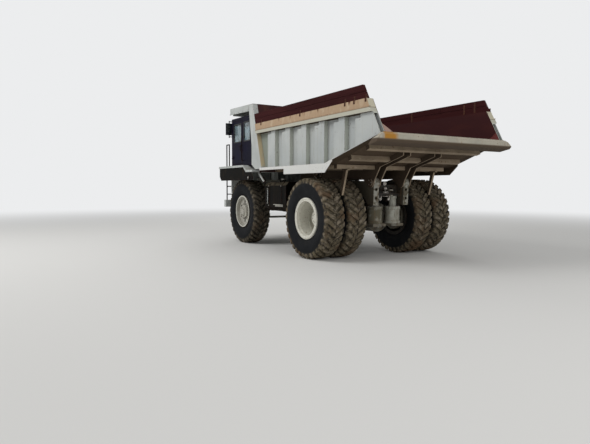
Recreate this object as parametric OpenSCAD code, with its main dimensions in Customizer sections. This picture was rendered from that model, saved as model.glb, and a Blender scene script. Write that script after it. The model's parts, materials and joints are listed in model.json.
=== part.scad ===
// Rigid two-axle haul truck, as it parks: bed down, wheels straight.
// X points forward, Y to the left, Z up. Lengths are measured from the rear axle line and the
// ground, and the whole truck is then moved so that the origin is under the middle of its box.

/* [Wheels] */
// Distance between the axle lines
wheelbase = 3940; // [3800:10:4100]
// Outer diameter of every tyre, over its tread
tyre_d = 1860; // [1780:10:1900]
// Width of a tyre across its sidewalls
tyre_w = 500; // [440:5:520]
// Diameter of the rim flange
flange_d = 956; // [920:4:980]
// Diameter of the seat that the beads sit on
seat_d = 838; // [800:2:850]
// Thickness of a tyre's wall
tyre_wall = 38; // [25:1:45]
// Number of lugs round each side of a tyre's tread
lugs = 34; // [28:1:36]
// Width of a lug, along the tread
lug_w = 112; // [90:2:120]
// Depth of the grooves between the lugs
lug_depth = 45; // [30:1:50]
// How far a lug's inner end runs ahead of its outer end
lug_sweep = 165; // [120:5:180]
// Width of a rim between the outer faces of its flanges
rim_w = 440; // [400:5:450]
// Thickness of a rim's barrel and disc
rim_t = 18; // [12:1:24]
// Distance of a front wheel's middle from the centre line
front_wheel_y = 1380; // [1360:5:1420]
// Distance of an inner rear wheel's middle from the centre line
twin_inner_y = 1010; // [1005:5:1040]
// Distance between the middles of two twin wheels
twin_pitch = 600; // [580:5:620]

/* [Steering] */
// Distance of a kingpin from the centre line
kingpin_y = 980; // [960:5:990]
// Diameter of a front strut's outer tube
strut_d = 220; // [180:5:230]
// Diameter of the steering piston that turns in it
piston_d = 160; // [120:5:170]
// Height of a strut's top
strut_top_z = 1930; // [1850:10:1960]
// Height of a strut's mouth
strut_foot_z = 1180; // [1140:10:1240]
// Diameter of a front stub axle
stub_d = 180; // [140:5:200]
// Length of a steering arm, from the kingpin to the tie rod's pin
steer_arm = 300; // [260:5:320]
// Diameter of the tie rod
tie_d = 60; // [40:2:70]

/* [Frame] */
// Distance of a rail's middle from the centre line
rail_y = 450; // [430:5:460]
// Width of a rail
rail_w = 150; // [120:5:160]
// Height of the rails' top behind the cab
rail_top_z = 1800; // [1760:5:1810]
// Depth of the rails
rail_depth = 380; // [320:10:420]
// Height of the rails' top under the hood
rail_front_z = 1380; // [1330:10:1400]
// Depth of the rails under the hood
rail_front_depth = 320; // [260:10:340]
// Length of the truck's nose from the front axle line to the bumper's face
nose = 1540; // [1500:10:1620]
// Height of the bumper's underside
bumper_z = 1020; // [940:10:1040]
// Height of the bumper
bumper_h = 220; // [180:10:260]
// Thickness of the bumper, front to back
bumper_t = 240; // [180:10:250]
// Half the bumper's width
bumper_y = 1580; // [1480:10:1700]
// Thickness of brackets and hanger plates
plate_t = 25; // [18:1:28]

/* [Bed] */
// Height of the load floor's upper face
floor_z = 2160; // [2140:5:2190]
// Thickness of the floor's plate
floor_t = 20; // [12:1:24]
// Where the floor meets the headboard, from the rear axle
head_x = 2380; // [2300:10:2420]
// Where the floor starts to rise to the tail, behind the rear axle
kick_x = 850; // [780:10:950]
// Overhang of the floor's tail end, behind the rear axle
tail_x = 2500; // [2350:10:2600]
// Height of the floor at its tail
tail_z = 2680; // [2580:10:2760]
// Inner face of the side walls, from the centre line
wall_y = 1620; // [1580:5:1650]
// Thickness of the side walls' plate
wall_t = 20; // [12:1:24]
// How far the side ribs stand out from the wall's plate
rib_out = 100; // [60:5:115]
// Pitch of the side ribs
rib_pitch = 752; // [700:1:800]
// Width of a rib
rib_w = 395; // [340:1:480]
// Thickness of the ribs' folded plate
rib_t = 10; // [6:1:14]
// Height of the top rail's lower edge
rail_low_z = 3090; // [3020:10:3140]
// Height of the top rail
rail_band = 270; // [200:10:280]
// How far the top rail stands out from the wall's plate
rail_out = 140; // [125:5:160]
// Height of the lip along the top rail's foot
rail_lip_h = 105; // [60:5:120]
// How far the lip stands out from the rail
rail_lip = 20; // [10:1:30]
// Height of the wooden boards on the rail
board_h = 280; // [200:10:320]
// Thickness of the boards
board_t = 60; // [40:5:80]
// Outer face of the ledge along the bed's foot, from the centre line
ledge_y = 1880; // [1850:5:1900]
// Thickness of the ledge's folded plate
ledge_t = 16; // [10:1:20]
// Height of the ledge's lower edge in front of the tyres
ledge_front_z = 2090; // [2070:5:2110]
// Height of its lower edge over the tyres
ledge_rear_z = 1960; // [1940:5:2000]
// Lean of the headboard, forward for each unit of height
head_lean = 0.297; // [0.26:0.001:0.32]
// Lean of the side walls' tail edge, forward for each unit of height
tail_lean = 0.552; // [0.4:0.002:0.6]
// Height of the headboard's top
head_top_z = 3920; // [3880:5:3980]
// Thickness of the headboard's plate
head_t = 20; // [12:1:24]
// Overhang of the canopy in front of the headboard's top
canopy_l = 1720; // [1600:10:1800]
// Depth of the fold round the canopy's edge
canopy_fold = 160; // [100:5:180]
// Thickness of the canopy's plate
canopy_t = 16; // [10:1:20]

/* [Bed hinge and hoists] */
// Distance of the bed's hinge pin behind the rear axle
pivot_x = 750; // [720:5:780]
// Height of the hinge pin
pivot_z = 1760; // [1745:5:1765]
// Diameter of the hinge pins
pivot_d = 110; // [80:5:120]
// Distance of a hoist from the centre line
hoist_y = 655; // [650:1:660]
// Distance of the hoists' lower pins in front of the rear axle
hoist_foot_x = 1150; // [1130:5:1180]
// Height of the hoists' lower pins
hoist_foot_z = 720; // [700:5:760]
// Distance of the hoists' upper pins in front of the rear axle
hoist_head_x = 1350; // [1300:5:1380]
// Height of the hoists' upper pins
hoist_head_z = 1960; // [1940:5:1965]
// Diameter of the hoists' barrels
barrel_d = 190; // [170:2:192]
// Diameter of their first stage
sleeve_d = 150; // [130:2:160]
// Diameter of their second stage
rod_d = 110; // [90:2:120]
// Diameter of the hoists' pins
hoist_pin_d = 80; // [60:2:90]

/* [Cab and deck] */
// Gap between the headboard's foot and the cab
cab_gap = 120; // [100:5:160]
// Length of the cab
cab_l = 1370; // [1330:10:1400]
// Outer face of the cab, from the centre line
cab_y = 1700; // [1660:5:1730]
// Width of the cab
cab_w = 1150; // [1100:10:1160]
// Gap between the cab's roof and the fold of the canopy over it
canopy_gap = 90; // [60:5:120]
// Thickness of the cab's walls and of its door
cab_t = 50; // [40:1:60]
// Height of the deck's top
deck_z = 2270; // [2250:5:2290]
// Thickness of the deck
deck_t = 60; // [40:5:70]
// Half the deck's width
deck_y = 1850; // [1820:5:1880]
// Depth of the dark skirts below the deck
skirt_h = 370; // [300:5:375]
// Height of the hood above the deck
hood_h = 380; // [300:10:420]
// Half the hood's width
hood_y = 520; // [480:5:530]
// Outer edge of the nose's lamp panels, from the centre line
wing_y = 1410; // [1300:10:1440]

/* [Tanks] */
// Length of the tanks
tank_l = 1160; // [1000:10:1180]
// Width of the tanks
tank_w = 700; // [600:10:720]
// Height of the tanks
tank_h = 760; // [650:10:780]
// Distance of the tanks' inner faces from the centre line
tank_y = 850; // [830:5:880]

/* [Hidden] */
$fn = 64;

// Clearances: a running fit at a pin or piston, a seat between pieces, and a gap to what moves
run = 0.05;
seat = 0.3;
gap = 10;

// Wheels
tyre_r = tyre_d / 2;
seat_r = seat_d / 2;
flange_r = flange_d / 2;
axle_z = tyre_r;
twin_outer_y = twin_inner_y + twin_pitch;
front_x = wheelbase;
hub_r = 240;
cover_r = 175;
spindle_r = 150;
front_hub_r = 190;
brake_r = 330;
flange_t = 30;

// Bed
rail_top_band = rail_low_z + rail_band;
board_top_z = rail_top_band + board_h;
kick_slope = atan2(tail_z - floor_z, tail_x - kick_x);
first_slot_x = head_x - 165;
slot_w = rib_pitch - rib_w;
ribs = 6;
notch_l = 170;
notch_h = 75;
gusset = [600, 220, 220];
beam_in = rail_y - rail_w / 2 - gap - plate_t;
beam_out = rail_y + rail_w / 2 + gap;
beam_low_z = rail_top_z + 50;
cross_d = 90;
cross_w = 110;
cross_y = wall_y - 20;
// Runs of a cross rib between the beams and outside them, and how far along the tail its ribs stand
cross_runs = [[-cross_y, -beam_out - plate_t - seat], [-beam_in + seat, beam_in - seat],
    [beam_out + plate_t + seat, cross_y]];
tail_ribs = [470, 1080];
beam_tail_x = kick_x + tail_ribs[1] * cos(kick_slope) - 50;
lip_low_z = tail_z - 180;
lip_back = 100;
lip_y = ledge_y + 10;
lip_top_y = wall_y + wall_t + 80;

// Frame
bumper_x = front_x + nose;
rail_front_end = bumper_x - bumper_t;
post_r = 110;
strut_r = strut_d / 2;
tower_y = kingpin_y - strut_r + 15;
bend_x = front_x - 1400;
bend_l = 400;
pad_xs = [500, bend_x - 940, bend_x - 390];
tow_z = bumper_z - 75;
tow_r = 32;
clevis_gap = 100;
rear_strut_x = -565;
rear_strut_y = 270;
rear_strut_r = 185;
rear_saddle_z = axle_z - 130;
engine_back = front_x - 560;
engine_l = 1200;
pinion_x = 430;
draft_r = 90;
draft_ball = [690, 0, rail_top_z - rail_depth - 90];

// Cab and deck
head_depth = 600;
head_reach = 260;
head_end_t = 40;
head_end_y = max(wall_y + wall_t + 80, cab_y + 20);
cab_x = head_x + head_depth + cab_gap;
cab_floor_z = deck_z + 5;
cab_h = head_top_z - canopy_fold - canopy_gap - cab_floor_z;
deck_end = rail_front_end - 100;
deck_step_z = deck_z - 145;
hinge_y = cab_y + 18;
hinge_x = cab_x + cab_l - 90 + 5;
hinge_r = 16;
hinge_pin_r = 10;
door_x0 = cab_x + 620;
door_x1 = cab_x + cab_l - 90;
door_z0 = cab_floor_z + 60;
door_z1 = cab_floor_z + cab_h - 90;
sill_z = cab_floor_z + 690;
pane_top = cab_floor_z + cab_h - 170;
pane_t = 8;
hinge_zs = [door_z0 + 150, door_z1 - 250];

// Hoists: their length at rest, their lean, and the stroke of each stage
hoist_run = [hoist_head_x - hoist_foot_x, hoist_head_z - hoist_foot_z];
hoist_l = norm(hoist_run);
hoist_lean = atan2(hoist_run[1], hoist_run[0]);
eye_w = 100;
eye_r = 75;

// The truck's box along X, which the origin is under the middle of
box_rear = -(tail_x + lip_back);
box_front = bumper_x;

function head_at(z) = head_x + (z - floor_z) * head_lean;
function tail_at(z) = -tail_x + (z - tail_z) * tail_lean;
function floor_at(x) = x > -kick_x ? floor_z : floor_z + (-kick_x - x) * tan(kick_slope);

module place() {
    translate([-(box_front + box_rear) / 2, 0, 0]) children();
}

// A box from its low corner to its high corner
module span(low, high) {
    translate(low) cube(high - low);
}

// An outline in X and Z, pushed from y0 to y1
module side_cut(points, y0, y1) {
    translate([0, y1, 0]) rotate([90, 0, 0]) linear_extrude(y1 - y0) polygon(points);
}

// An outline in Y and Z, pushed from x0 to x1
module end_cut(points, x0, x1) {
    translate([x0, 0, 0]) rotate([90, 0, 90]) linear_extrude(x1 - x0) polygon(points);
}

module rod_y(x, z, r, y0, y1) {
    translate([x, y0, z]) rotate([-90, 0, 0]) cylinder(r = r, h = y1 - y0);
}

module rod_x(y, z, r, x0, x1) {
    translate([x0, y, z]) rotate([0, 90, 0]) cylinder(r = r, h = x1 - x0);
}

// A round bar between two points
module bar(a, b, r) {
    d = b - a;
    translate(a) rotate([0, acos(d[2] / norm(d)), atan2(d[1], d[0])]) cylinder(r = r, h = norm(d));
}

// A section of radius and width, turned about a wheel's axle at (x, y)
module turned(x, y, z = axle_z) {
    translate([x, y, z]) rotate([-90, 0, 0]) rotate_extrude() children();
}

module both_sides() {
    children();
    mirror([0, 1, 0]) children();
}

// An outline's other half, mirrored in width and taken backwards
function flipped(points) = [for (i = [len(points) - 1:-1:0]) [points[i][0], -points[i][1]]];

// A tyre's wall in radius and width: bead, bulging sidewall, shoulder and crown, hollow inside
module tyre_section() {
    bead_w = rim_w / 2 - flange_t - seat;
    shoulder_w = tyre_w / 2 - 18;
    shoulder_r = tyre_r - 55;
    bulge = tyre_w / 2 - (bead_w + shoulder_w) / 2;
    crown_r = tyre_r - lug_depth;
    outer = concat([[seat_r + seat, bead_w], [flange_r, bead_w]],
        [for (i = [1:6]) let (t = i / 6) [flange_r + (shoulder_r - flange_r) * t,
            bead_w + (shoulder_w - bead_w) * t + bulge * sin(180 * t)]],
        [[(shoulder_r + crown_r) / 2, shoulder_w - 16], [crown_r, shoulder_w - 80]]);
    inner_r = shoulder_r - tyre_wall;
    inner = [[inner_r, shoulder_w - 80], [shoulder_r - 60, shoulder_w - tyre_wall],
        [flange_r + 30, bead_w - tyre_wall + 10], [seat_r + seat, bead_w - 60]];
    polygon(concat(outer, flipped(outer), flipped(inner), inner));
}

// The ring that the lugs are cut from, in radius and width: its shoulders are rounded off
module tread_section() {
    y = tyre_w / 2 - 8;
    outer = [[tyre_r - 75, y], [tyre_r - 40, y], [tyre_r - 6, y - 30], [tyre_r, y - 60]];
    polygon(concat(outer, flipped(outer)));
}

// Lugs: swept bars from near the tread's middle out over each shoulder, the two sides half a pitch apart
module tread_lugs() {
    end = tyre_w / 2;
    knee = tyre_w / 2 - 35;
    slim = 0.8 * lug_w / 2;
    for (side = [0, 1], i = [0:lugs - 1]) {
        rotate([0, 0, (i + side / 2) * 360 / lugs]) mirror([0, 0, side]) translate([tyre_r - 80, 0, 0])
            rotate([90, 0, 90]) linear_extrude(90) polygon([[-lug_sweep - slim, 10], [-lug_sweep + slim, 10],
                [lug_w / 2, knee], [slim, end], [-slim, end], [-lug_w / 2, knee]]);
    }
}

module tyre(x, y) {
    color("#25262b") translate([x, y, axle_z]) rotate([-90, 0, 0]) union() {
        rotate_extrude() tyre_section();
        intersection() {
            rotate_extrude() tread_section();
            tread_lugs();
        }
    }
}

// The barrel of a rim with both flanges, in radius and width
module rim_barrel_section() {
    w = rim_w / 2;
    translate([seat_r - rim_t, -w]) square([rim_t, 2 * w]);
    for (low = [-w, w - flange_t]) {
        translate([seat_r - rim_t, low]) square([flange_r - seat_r + rim_t, flange_t]);
    }
    // A gutter's step inside each end
    for (low = [70 - w, w - 95]) translate([seat_r - rim_t - 14, low]) square([15, 25]);
}

// A front rim: its disc stands near the outer flange, with the hub through it
module front_rim(side) {
    y = side * front_wheel_y;
    disc_y = 120;
    color("#b5b4ac") difference() {
        union() {
            turned(front_x, y) rim_barrel_section();
            translate([front_x, y, axle_z]) rotate([-90 * side, 0, 0]) {
                translate([0, 0, disc_y]) cylinder(r = seat_r - rim_t / 2, h = rim_t);
                translate([0, 0, disc_y - 230]) cylinder(r = front_hub_r, h = 300);
                translate([0, 0, disc_y + 70]) cylinder(r1 = front_hub_r - 40, r2 = front_hub_r - 60, h = 40);
            }
        }
        translate([front_x, y, axle_z]) rotate([-90 * side, 0, 0]) {
            translate([0, 0, disc_y - 231]) cylinder(d = stub_d + 2 * run, h = 260);
            for (i = [0:5]) {
                rotate([0, 0, 60 * i + 30]) translate([285, 0, disc_y - 10]) cylinder(r = 45, h = rim_t + 20);
            }
        }
    }
}

// Twin rear rims on one hub: the disc stands between the tyres, so the outer rim is a deep dish
module rear_rims(side) {
    mid_y = side * (twin_inner_y + twin_outer_y) / 2;
    half = twin_pitch / 2;
    color("#b5b4ac") difference() {
        union() {
            turned(0, side * twin_inner_y) rim_barrel_section();
            turned(0, side * twin_outer_y) rim_barrel_section();
            turned(0, mid_y) translate([seat_r - rim_t, -half + rim_w / 2])
                square([rim_t, twin_pitch - rim_w]);
            translate([0, mid_y, axle_z]) rotate([-90 * side, 0, 0]) {
                translate([0, 0, -rim_t]) cylinder(r = seat_r - rim_t / 2, h = 2 * rim_t);
                translate([0, 0, -200]) cylinder(r = hub_r, h = 300);
                translate([0, 0, 100]) cylinder(r = cover_r, h = 140);
                translate([0, 0, 240]) cylinder(r1 = cover_r - 30, r2 = cover_r - 60, h = 30);
            }
        }
        translate([0, mid_y, axle_z]) rotate([-90 * side, 0, 0]) {
            translate([0, 0, -201]) cylinder(r = spindle_r + run, h = 261);
        }
    }
}

// Frame: two cranked rails, cross members, hinge posts, hoist shaft and front strut towers
function rail_outline() = let (
        low = rail_top_z - rail_depth,
        front_low = rail_front_z - rail_front_depth)
    [[-pivot_x + 200, rail_top_z], [bend_x, rail_top_z], [bend_x + bend_l, rail_front_z],
        [rail_front_end, rail_front_z], [rail_front_end, front_low],
        [bend_x + bend_l - 60, front_low], [bend_x - 60, low], [-pivot_x + 200, low]];

module hinge_post() {
    low = rail_top_z - rail_depth;
    difference() {
        union() {
            side_cut([[-pivot_x + 290, rail_top_z], [-pivot_x + 80, rail_top_z],
                [-pivot_x - post_r + 20, pivot_z], [-pivot_x - post_r + 40, low - 180],
                [-pivot_x + 120, low - 180], [-pivot_x + 290, low]],
                rail_y - rail_w / 2, rail_y + rail_w / 2);
            rod_y(-pivot_x, pivot_z, post_r, rail_y - rail_w / 2, rail_y + rail_w / 2);
        }
        rod_y(-pivot_x, pivot_z, pivot_d / 2 + run, rail_y - rail_w, rail_y + rail_w);
        // Round pockets in the post's rear face
        for (z = [low - 20, low + 180]) rod_x(rail_y, z, 38, -pivot_x - 150, -pivot_x - 10);
    }
}

// Cross member between the hinge posts, with a pocket each side of the hitch and bosses for its pins
module hinge_member() {
    low = rail_top_z - rail_depth;
    in_y = rail_y - rail_w / 2;
    back = -pivot_x + 160;
    difference() {
        span([back, -in_y - 5, low + 30], [back + 170, in_y + 5, rail_top_z - 90]);
        both_sides() rod_x(185, low + 170, 60, back - 1, back + 60);
    }
    rod_x(0, low + 190, 50, back - 30, back + 5);
    rod_x(0, rail_top_z - 60, 50, back, back + 60);
    both_sides() {
        span([back + 30, 90, low - 90], [back + 170, 160, low + 35]);
        rod_x(125, low - 45, 35, back, back + 35);
    }
}

module strut_tower() {
    in_y = rail_y - rail_w / 2;
    out_y = tower_y;
    end_cut([[in_y, rail_front_z - 200], [in_y, strut_top_z - 60], [out_y, strut_top_z - 60],
        [out_y, strut_foot_z + 120], [rail_y + rail_w / 2, rail_front_z - 200]],
        front_x - 90, front_x + 90);
}

// A lug under the bumper, bored for a tow pin
module tow_lug() {
    low = rail_front_z - rail_front_depth;
    end = bumper_x - 60;
    difference() {
        side_cut([[rail_front_end - 200, low + 5], [rail_front_end - 120, tow_z - 55], [end, tow_z - 55],
            [end, bumper_z - seat], [rail_front_end - 1, bumper_z - seat], [rail_front_end - 1, low + 5]],
            rail_y - 25, rail_y + 25);
        rod_y(end - 60, tow_z, tow_r, rail_y - 30, rail_y + 30);
    }
}

// Two ears behind the rear cross member, bored for an upright tow pin
module tow_clevis() {
    low = rail_top_z - rail_depth;
    back = rear_strut_x - 130;
    for (z = [low + 30, low + 30 + clevis_gap + plate_t]) difference() {
        translate([0, 0, z]) linear_extrude(plate_t) union() {
            polygon([[back + 140, -110], [back - 90, -70], [back - 90, 70], [back + 140, 110]]);
            translate([back - 90, 0]) circle(r = 70);
        }
        translate([back - 90, 0, z - 1]) cylinder(r = tow_r, h = plate_t + 2);
    }
}

module frame() {
    low = rail_top_z - rail_depth;
    in_y = rail_y - rail_w / 2;
    color("#8f9088") union() {
        both_sides() {
            side_cut(rail_outline(), in_y, rail_y + rail_w / 2);
            hinge_post();
            strut_tower();
            tow_lug();
            // Hanger plates for the hoists' cross shaft
            side_cut([[hoist_foot_x - 180, low + 5], [hoist_foot_x - 110, hoist_foot_z - 100],
                [hoist_foot_x + 110, hoist_foot_z - 100], [hoist_foot_x + 200, low + 5]],
                rail_y - 40, rail_y + 40);
            rod_y(hoist_foot_x, hoist_foot_z, hoist_pin_d / 2 + 10, hoist_y + eye_w / 2 + 5, hoist_y + 85);
        }
        tow_clevis();
        // Cross members: at the hinge, ahead of the axle, behind the gearbox and at the nose
        hinge_member();
        span([rear_strut_x - 130, -in_y - 5, low + 30], [-pivot_x + 330, in_y + 5, low + 90]);
        span([draft_ball[0] - 70, -in_y - 5, low + 40], [draft_ball[0] + 70, in_y + 5, rail_top_z - 40]);
        translate(draft_ball + [0, 0, draft_r + seat]) cylinder(r = 60, h = 60);
        span([1780, -in_y - 5, low + 40], [1900, in_y + 5, rail_top_z - 40]);
        span([rail_front_end - 200, -in_y - 5, rail_front_z - 280],
            [rail_front_end - 60, in_y + 5, rail_front_z - 40]);
        rod_y(hoist_foot_x, hoist_foot_z, 80, -rail_y - 100, rail_y + 100);
        rod_y(hoist_foot_x, hoist_foot_z, hoist_pin_d / 2, -hoist_y - 80, hoist_y + 80);
    }
    // Rubber pads that the bed's beams rest on
    color("#1c1b18") both_sides() {
        for (x = pad_xs) {
            span([x, rail_y - 60, rail_top_z], [x + 180, rail_y + 60, beam_low_z - seat]);
        }
    }
}

module bumper() {
    bevel = 50;
    color("#b9b8b0") {
        translate([0, 0, bumper_z]) linear_extrude(bumper_h) polygon([
            [bumper_x - bumper_t, -bumper_y], [bumper_x - bevel - 60, -bumper_y], [bumper_x, -bumper_y + 260],
            [bumper_x, bumper_y - 260], [bumper_x - bevel - 60, bumper_y], [bumper_x - bumper_t, bumper_y]]);
    }
}

// Nose: the radiator's surround and the two panels that hold the head lamps
module nose_panel() {
    x0 = rail_front_end - 90;
    x1 = rail_front_end - 10;
    top = deck_z + hood_h - 10;
    low = rail_front_z + seat;
    color("#b9b8b0") difference() {
        union() {
            span([x0, -hood_y, low], [x1, hood_y, top]);
            both_sides() span([x0, hood_y - 5, low + 80], [x1 - 30, wing_y, deck_z - deck_t - seat]);
        }
        span([x0 + 30, -hood_y + 70, low + 90], [x1 + 1, hood_y - 70, top - 80]);
        both_sides() for (y = [760, 1080]) rod_x(y, low + 380, 95, x1 - 70, x1 + 1);
    }
    color("#2b2b28") for (i = [0:8]) {
        z = low + 150 + i * (top - low - 300) / 8;
        span([x0 + 30, -hood_y + 70, z - 12], [x0 + 70, hood_y - 70, z + 12]);
    }
    color("white") both_sides() for (y = [760, 1080]) rod_x(y, low + 380, 94.7, x1 - 70, x1 - 20);
}

module hood() {
    x0 = cab_x + 60;
    x1 = rail_front_end - 90 - seat;
    t = 15;
    bevel = 90;
    z0 = deck_z + seat;
    z1 = deck_z + hood_h;
    color("#b9b8b0") difference() {
        end_cut([[-hood_y, z0], [-hood_y, z1 - bevel], [-hood_y + bevel, z1], [hood_y - bevel, z1],
            [hood_y, z1 - bevel], [hood_y, z0]], x0, x1);
        end_cut([[-hood_y + t, z0 - 1], [-hood_y + t, z1 - bevel - 6], [-hood_y + bevel + 6, z1 - t],
            [hood_y - bevel - 6, z1 - t], [hood_y - t, z1 - bevel - 6], [hood_y - t, z0 - 1]], x0 + t, x1 + 1);
    }
}

module engine_block() {
    y = rail_y - rail_w / 2 - 15;
    mount_z = rail_front_z - 120;
    color("#55564f") union() {
        span([engine_back, -y, rail_front_z - 330], [engine_back + engine_l, y, deck_z + 60]);
        both_sides() for (x = [engine_back + 140, engine_back + engine_l - 240]) {
            span([x, y - 5, mount_z], [x + 120, rail_y - rail_w / 2 - seat, mount_z + 60]);
        }
    }
}

// Gearbox and its bell housing behind the engine, the drive shaft, and the flange at the axle's pinion
module transmission() {
    z = rail_front_z - 80;
    back = engine_back - 1330;
    bell = engine_back - 480;
    color("#55564f") union() {
        rod_x(0, z, 250, back, bell);
        rod_x(0, z, 330, bell, engine_back - seat);
        span([back + 100, -180, z - 360], [bell - 100, 180, z]);
        bar([back + 10, 0, z - 60], [pinion_x + 40, 0, axle_z + 10], 60);
        rod_x(0, axle_z, 120, pinion_x + seat, pinion_x + 45);
        both_sides() span([back + 250, 200, z - 60], [back + 450, rail_y - rail_w / 2 - seat, z + 60]);
    }
}

// Deck over the front wheels, with a hole for the hood and a low step behind the cab
module deck() {
    x0 = cab_x + 260;
    in_y = hood_y - 20;
    pipe_r = 26;
    pipe_bend = [cab_x - 282, deck_y - 250, deck_step_z - deck_t - seat - 50];
    color("#b9b8b0") difference() {
        union() {
            span([x0, -deck_y, deck_z - deck_t], [deck_end, deck_y, deck_z]);
            both_sides() side_cut([[x0 + 1, deck_z], [cab_x + 80, deck_step_z],
                [cab_x - 330, deck_step_z], [cab_x - 330, deck_step_z - deck_t],
                [cab_x + 80, deck_step_z - deck_t], [x0 + 1, deck_z - deck_t]], 900, deck_y);
        }
        span([x0 - 1, -in_y, deck_z - deck_t - 1], [deck_end - 60, in_y, deck_z + 1]);
    }
    // Bent pipe that hangs from the left step's rear end, with its foot plate against the step
    color("#b9b8b0") union() {
        translate(pipe_bend - [45, 45, 0]) translate([0, 0, 38]) cube([90, 90, 12]);
        translate(pipe_bend) cylinder(r = pipe_r, h = 45);
        translate(pipe_bend) sphere(r = pipe_r);
        bar(pipe_bend, pipe_bend + [-290, 0, -225], pipe_r);
    }
    // Brackets that carry the deck on the strut towers and the rails
    color("#8f9088") both_sides() {
        span([front_x - 90, rail_y, strut_top_z - 60 + seat],
            [front_x + 90, rail_y + 130, deck_z - deck_t - seat]);
        span([rail_front_end - 300, rail_y - 60, rail_front_z + seat],
            [rail_front_end - 200, rail_y + 60, deck_z - deck_t - seat]);
    }
}

// Dark skirts that hang from the deck's outer edge over the front wheels
module skirts() {
    x0 = cab_x - 330;
    t = 12;
    y1 = deck_y - 20;
    top = deck_z - deck_t - seat;
    low = deck_z - deck_t - skirt_h;
    color("#1c1b18") both_sides() {
        side_cut([[x0 + 120, deck_step_z - deck_t - seat], [cab_x + 82, deck_step_z - deck_t - seat],
            [cab_x + 263, top], [deck_end - 20, top], [deck_end - 20, low + 120],
            [deck_end - 140, low], [x0 + 40, low], [x0, low + 60]], y1 - t, y1);
        // Round marker lamp
        rod_y(cab_x - 90, low + 70, 34, y1 - 1, y1 + 16);
        rod_y(cab_x - 90, low + 70, 26, y1 - 1, y1 + 30);
    }
}

// Cab: one hollow shell with a doorway and the window openings cut
module cab_shell() {
    x0 = cab_x;
    x1 = cab_x + cab_l;
    y0 = cab_y - cab_w;
    y1 = cab_y;
    z0 = cab_floor_z - 5 + seat;
    z1 = cab_floor_z + cab_h;
    t = cab_t;
    color("#20202c") difference() {
        span([x0, y0, z0], [x1, y1, z1]);
        span([x0 + t, y0 + t, z0 + t], [x1 - t, y1 - t, z1 - t]);
        // Doorway
        span([door_x0 - gap, y1 - t - 1, door_z0 - gap], [door_x1 + gap, y1 + 1, door_z1 + gap]);
        // Side window behind the door, windscreen, rear window and right window
        span([x0 + 100, y1 - t - 1, sill_z], [door_x0 - gap - 90, y1 + 1, pane_top]);
        span([x1 - t - 1, y0 + 90, sill_z - 60], [x1 + 1, y1 - 90, pane_top]);
        span([x0 - 1, y0 + 120, sill_z], [x0 + t + 1, y1 - 120, pane_top]);
        span([x0 + 120, y0 - 1, sill_z], [x1 - 120, y0 + t + 1, pane_top]);
    }
    // Hinge leaves in front of the door, with the pins standing on them
    color("#20202c") for (z = hinge_zs) union() {
        span([hinge_x, y1 - 5, z], [hinge_x + 60, hinge_y, z + 40]);
        translate([hinge_x, hinge_y, z]) cylinder(r = hinge_r, h = 40);
        translate([hinge_x, hinge_y, z]) cylinder(r = hinge_pin_r, h = 80);
    }
}

module cab_glass() {
    x0 = cab_x;
    x1 = cab_x + cab_l;
    y0 = cab_y - cab_w;
    mid = cab_t / 2;
    color([0.6, 0.75, 0.8, 0.4]) {
        span([x0 + 100 + seat, cab_y - mid, sill_z + seat],
            [door_x0 - gap - 90 - seat, cab_y - mid + pane_t, pane_top - seat]);
        span([x1 - mid, y0 + 90 + seat, sill_z - 60 + seat],
            [x1 - mid + pane_t, cab_y - 90 - seat, pane_top - seat]);
        span([x0 + mid, y0 + 120 + seat, sill_z + seat],
            [x0 + mid + pane_t, cab_y - 120 - seat, pane_top - seat]);
        span([x0 + 120 + seat, y0 + mid, sill_z + seat],
            [x1 - 120 - seat, y0 + mid + pane_t, pane_top - seat]);
    }
}

// Seat, steering column with its wheel, and dash, all standing on the cab's floor
module cab_inside() {
    floor_top = cab_floor_z - 5 + cab_t + 2 * seat;
    mid_y = cab_y - cab_w / 2 + 60;
    x = cab_x + 380;
    color("#2a2a2c") {
        span([x - 120, mid_y - 160, floor_top], [x + 160, mid_y + 160, floor_top + 260]);
        span([x - 220, mid_y - 240, floor_top + 260 + seat], [x + 260, mid_y + 240, floor_top + 380]);
        side_cut([[x - 220, floor_top + 380 + seat], [x - 100, floor_top + 380 + seat],
            [x - 170, floor_top + 950], [x - 260, floor_top + 950]], mid_y - 220, mid_y + 220);
        span([cab_x + cab_l - 380, cab_y - cab_w + cab_t + 20, floor_top],
            [cab_x + cab_l - cab_t - 20, cab_y - 160, floor_top + 620]);
        bar([cab_x + cab_l - 385, mid_y, floor_top + 480], [cab_x + cab_l - 520, mid_y, floor_top + 660], 28);
        translate([cab_x + cab_l - 520, mid_y, floor_top + 660]) rotate([0, -37, 0])
            rotate_extrude() translate([210, 0]) circle(r = 15);
        translate([cab_x + cab_l - 520, mid_y, floor_top + 660]) rotate([0, -37, 0]) for (a = [0:120:240]) {
            rotate([0, 0, a]) rotate([0, 90, 0]) cylinder(r = 11, h = 210);
        }
    }
}

// Ladder from the bumper's end up to the deck, in front of the left wheel
module ladder() {
    x = rail_front_end + 40;
    y0 = 1180;
    y1 = 1520;
    z0 = bumper_z + bumper_h + seat;
    color("#b9b8b0") union() {
        for (y = [y0, y1]) bar([x, y, z0], [x, y, deck_z + 700], 18);
        for (i = [0:3]) rod_y(x, z0 + 180 + i * 250, 16, y0, y1);
        for (y = [y0, y1]) {
            bar([x, y, deck_z + 700], [x - 200, y, deck_z + 700], 18);
            bar([x - 200, y, deck_z + seat], [x - 200, y, deck_z + 700], 18);
        }
    }
}

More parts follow.
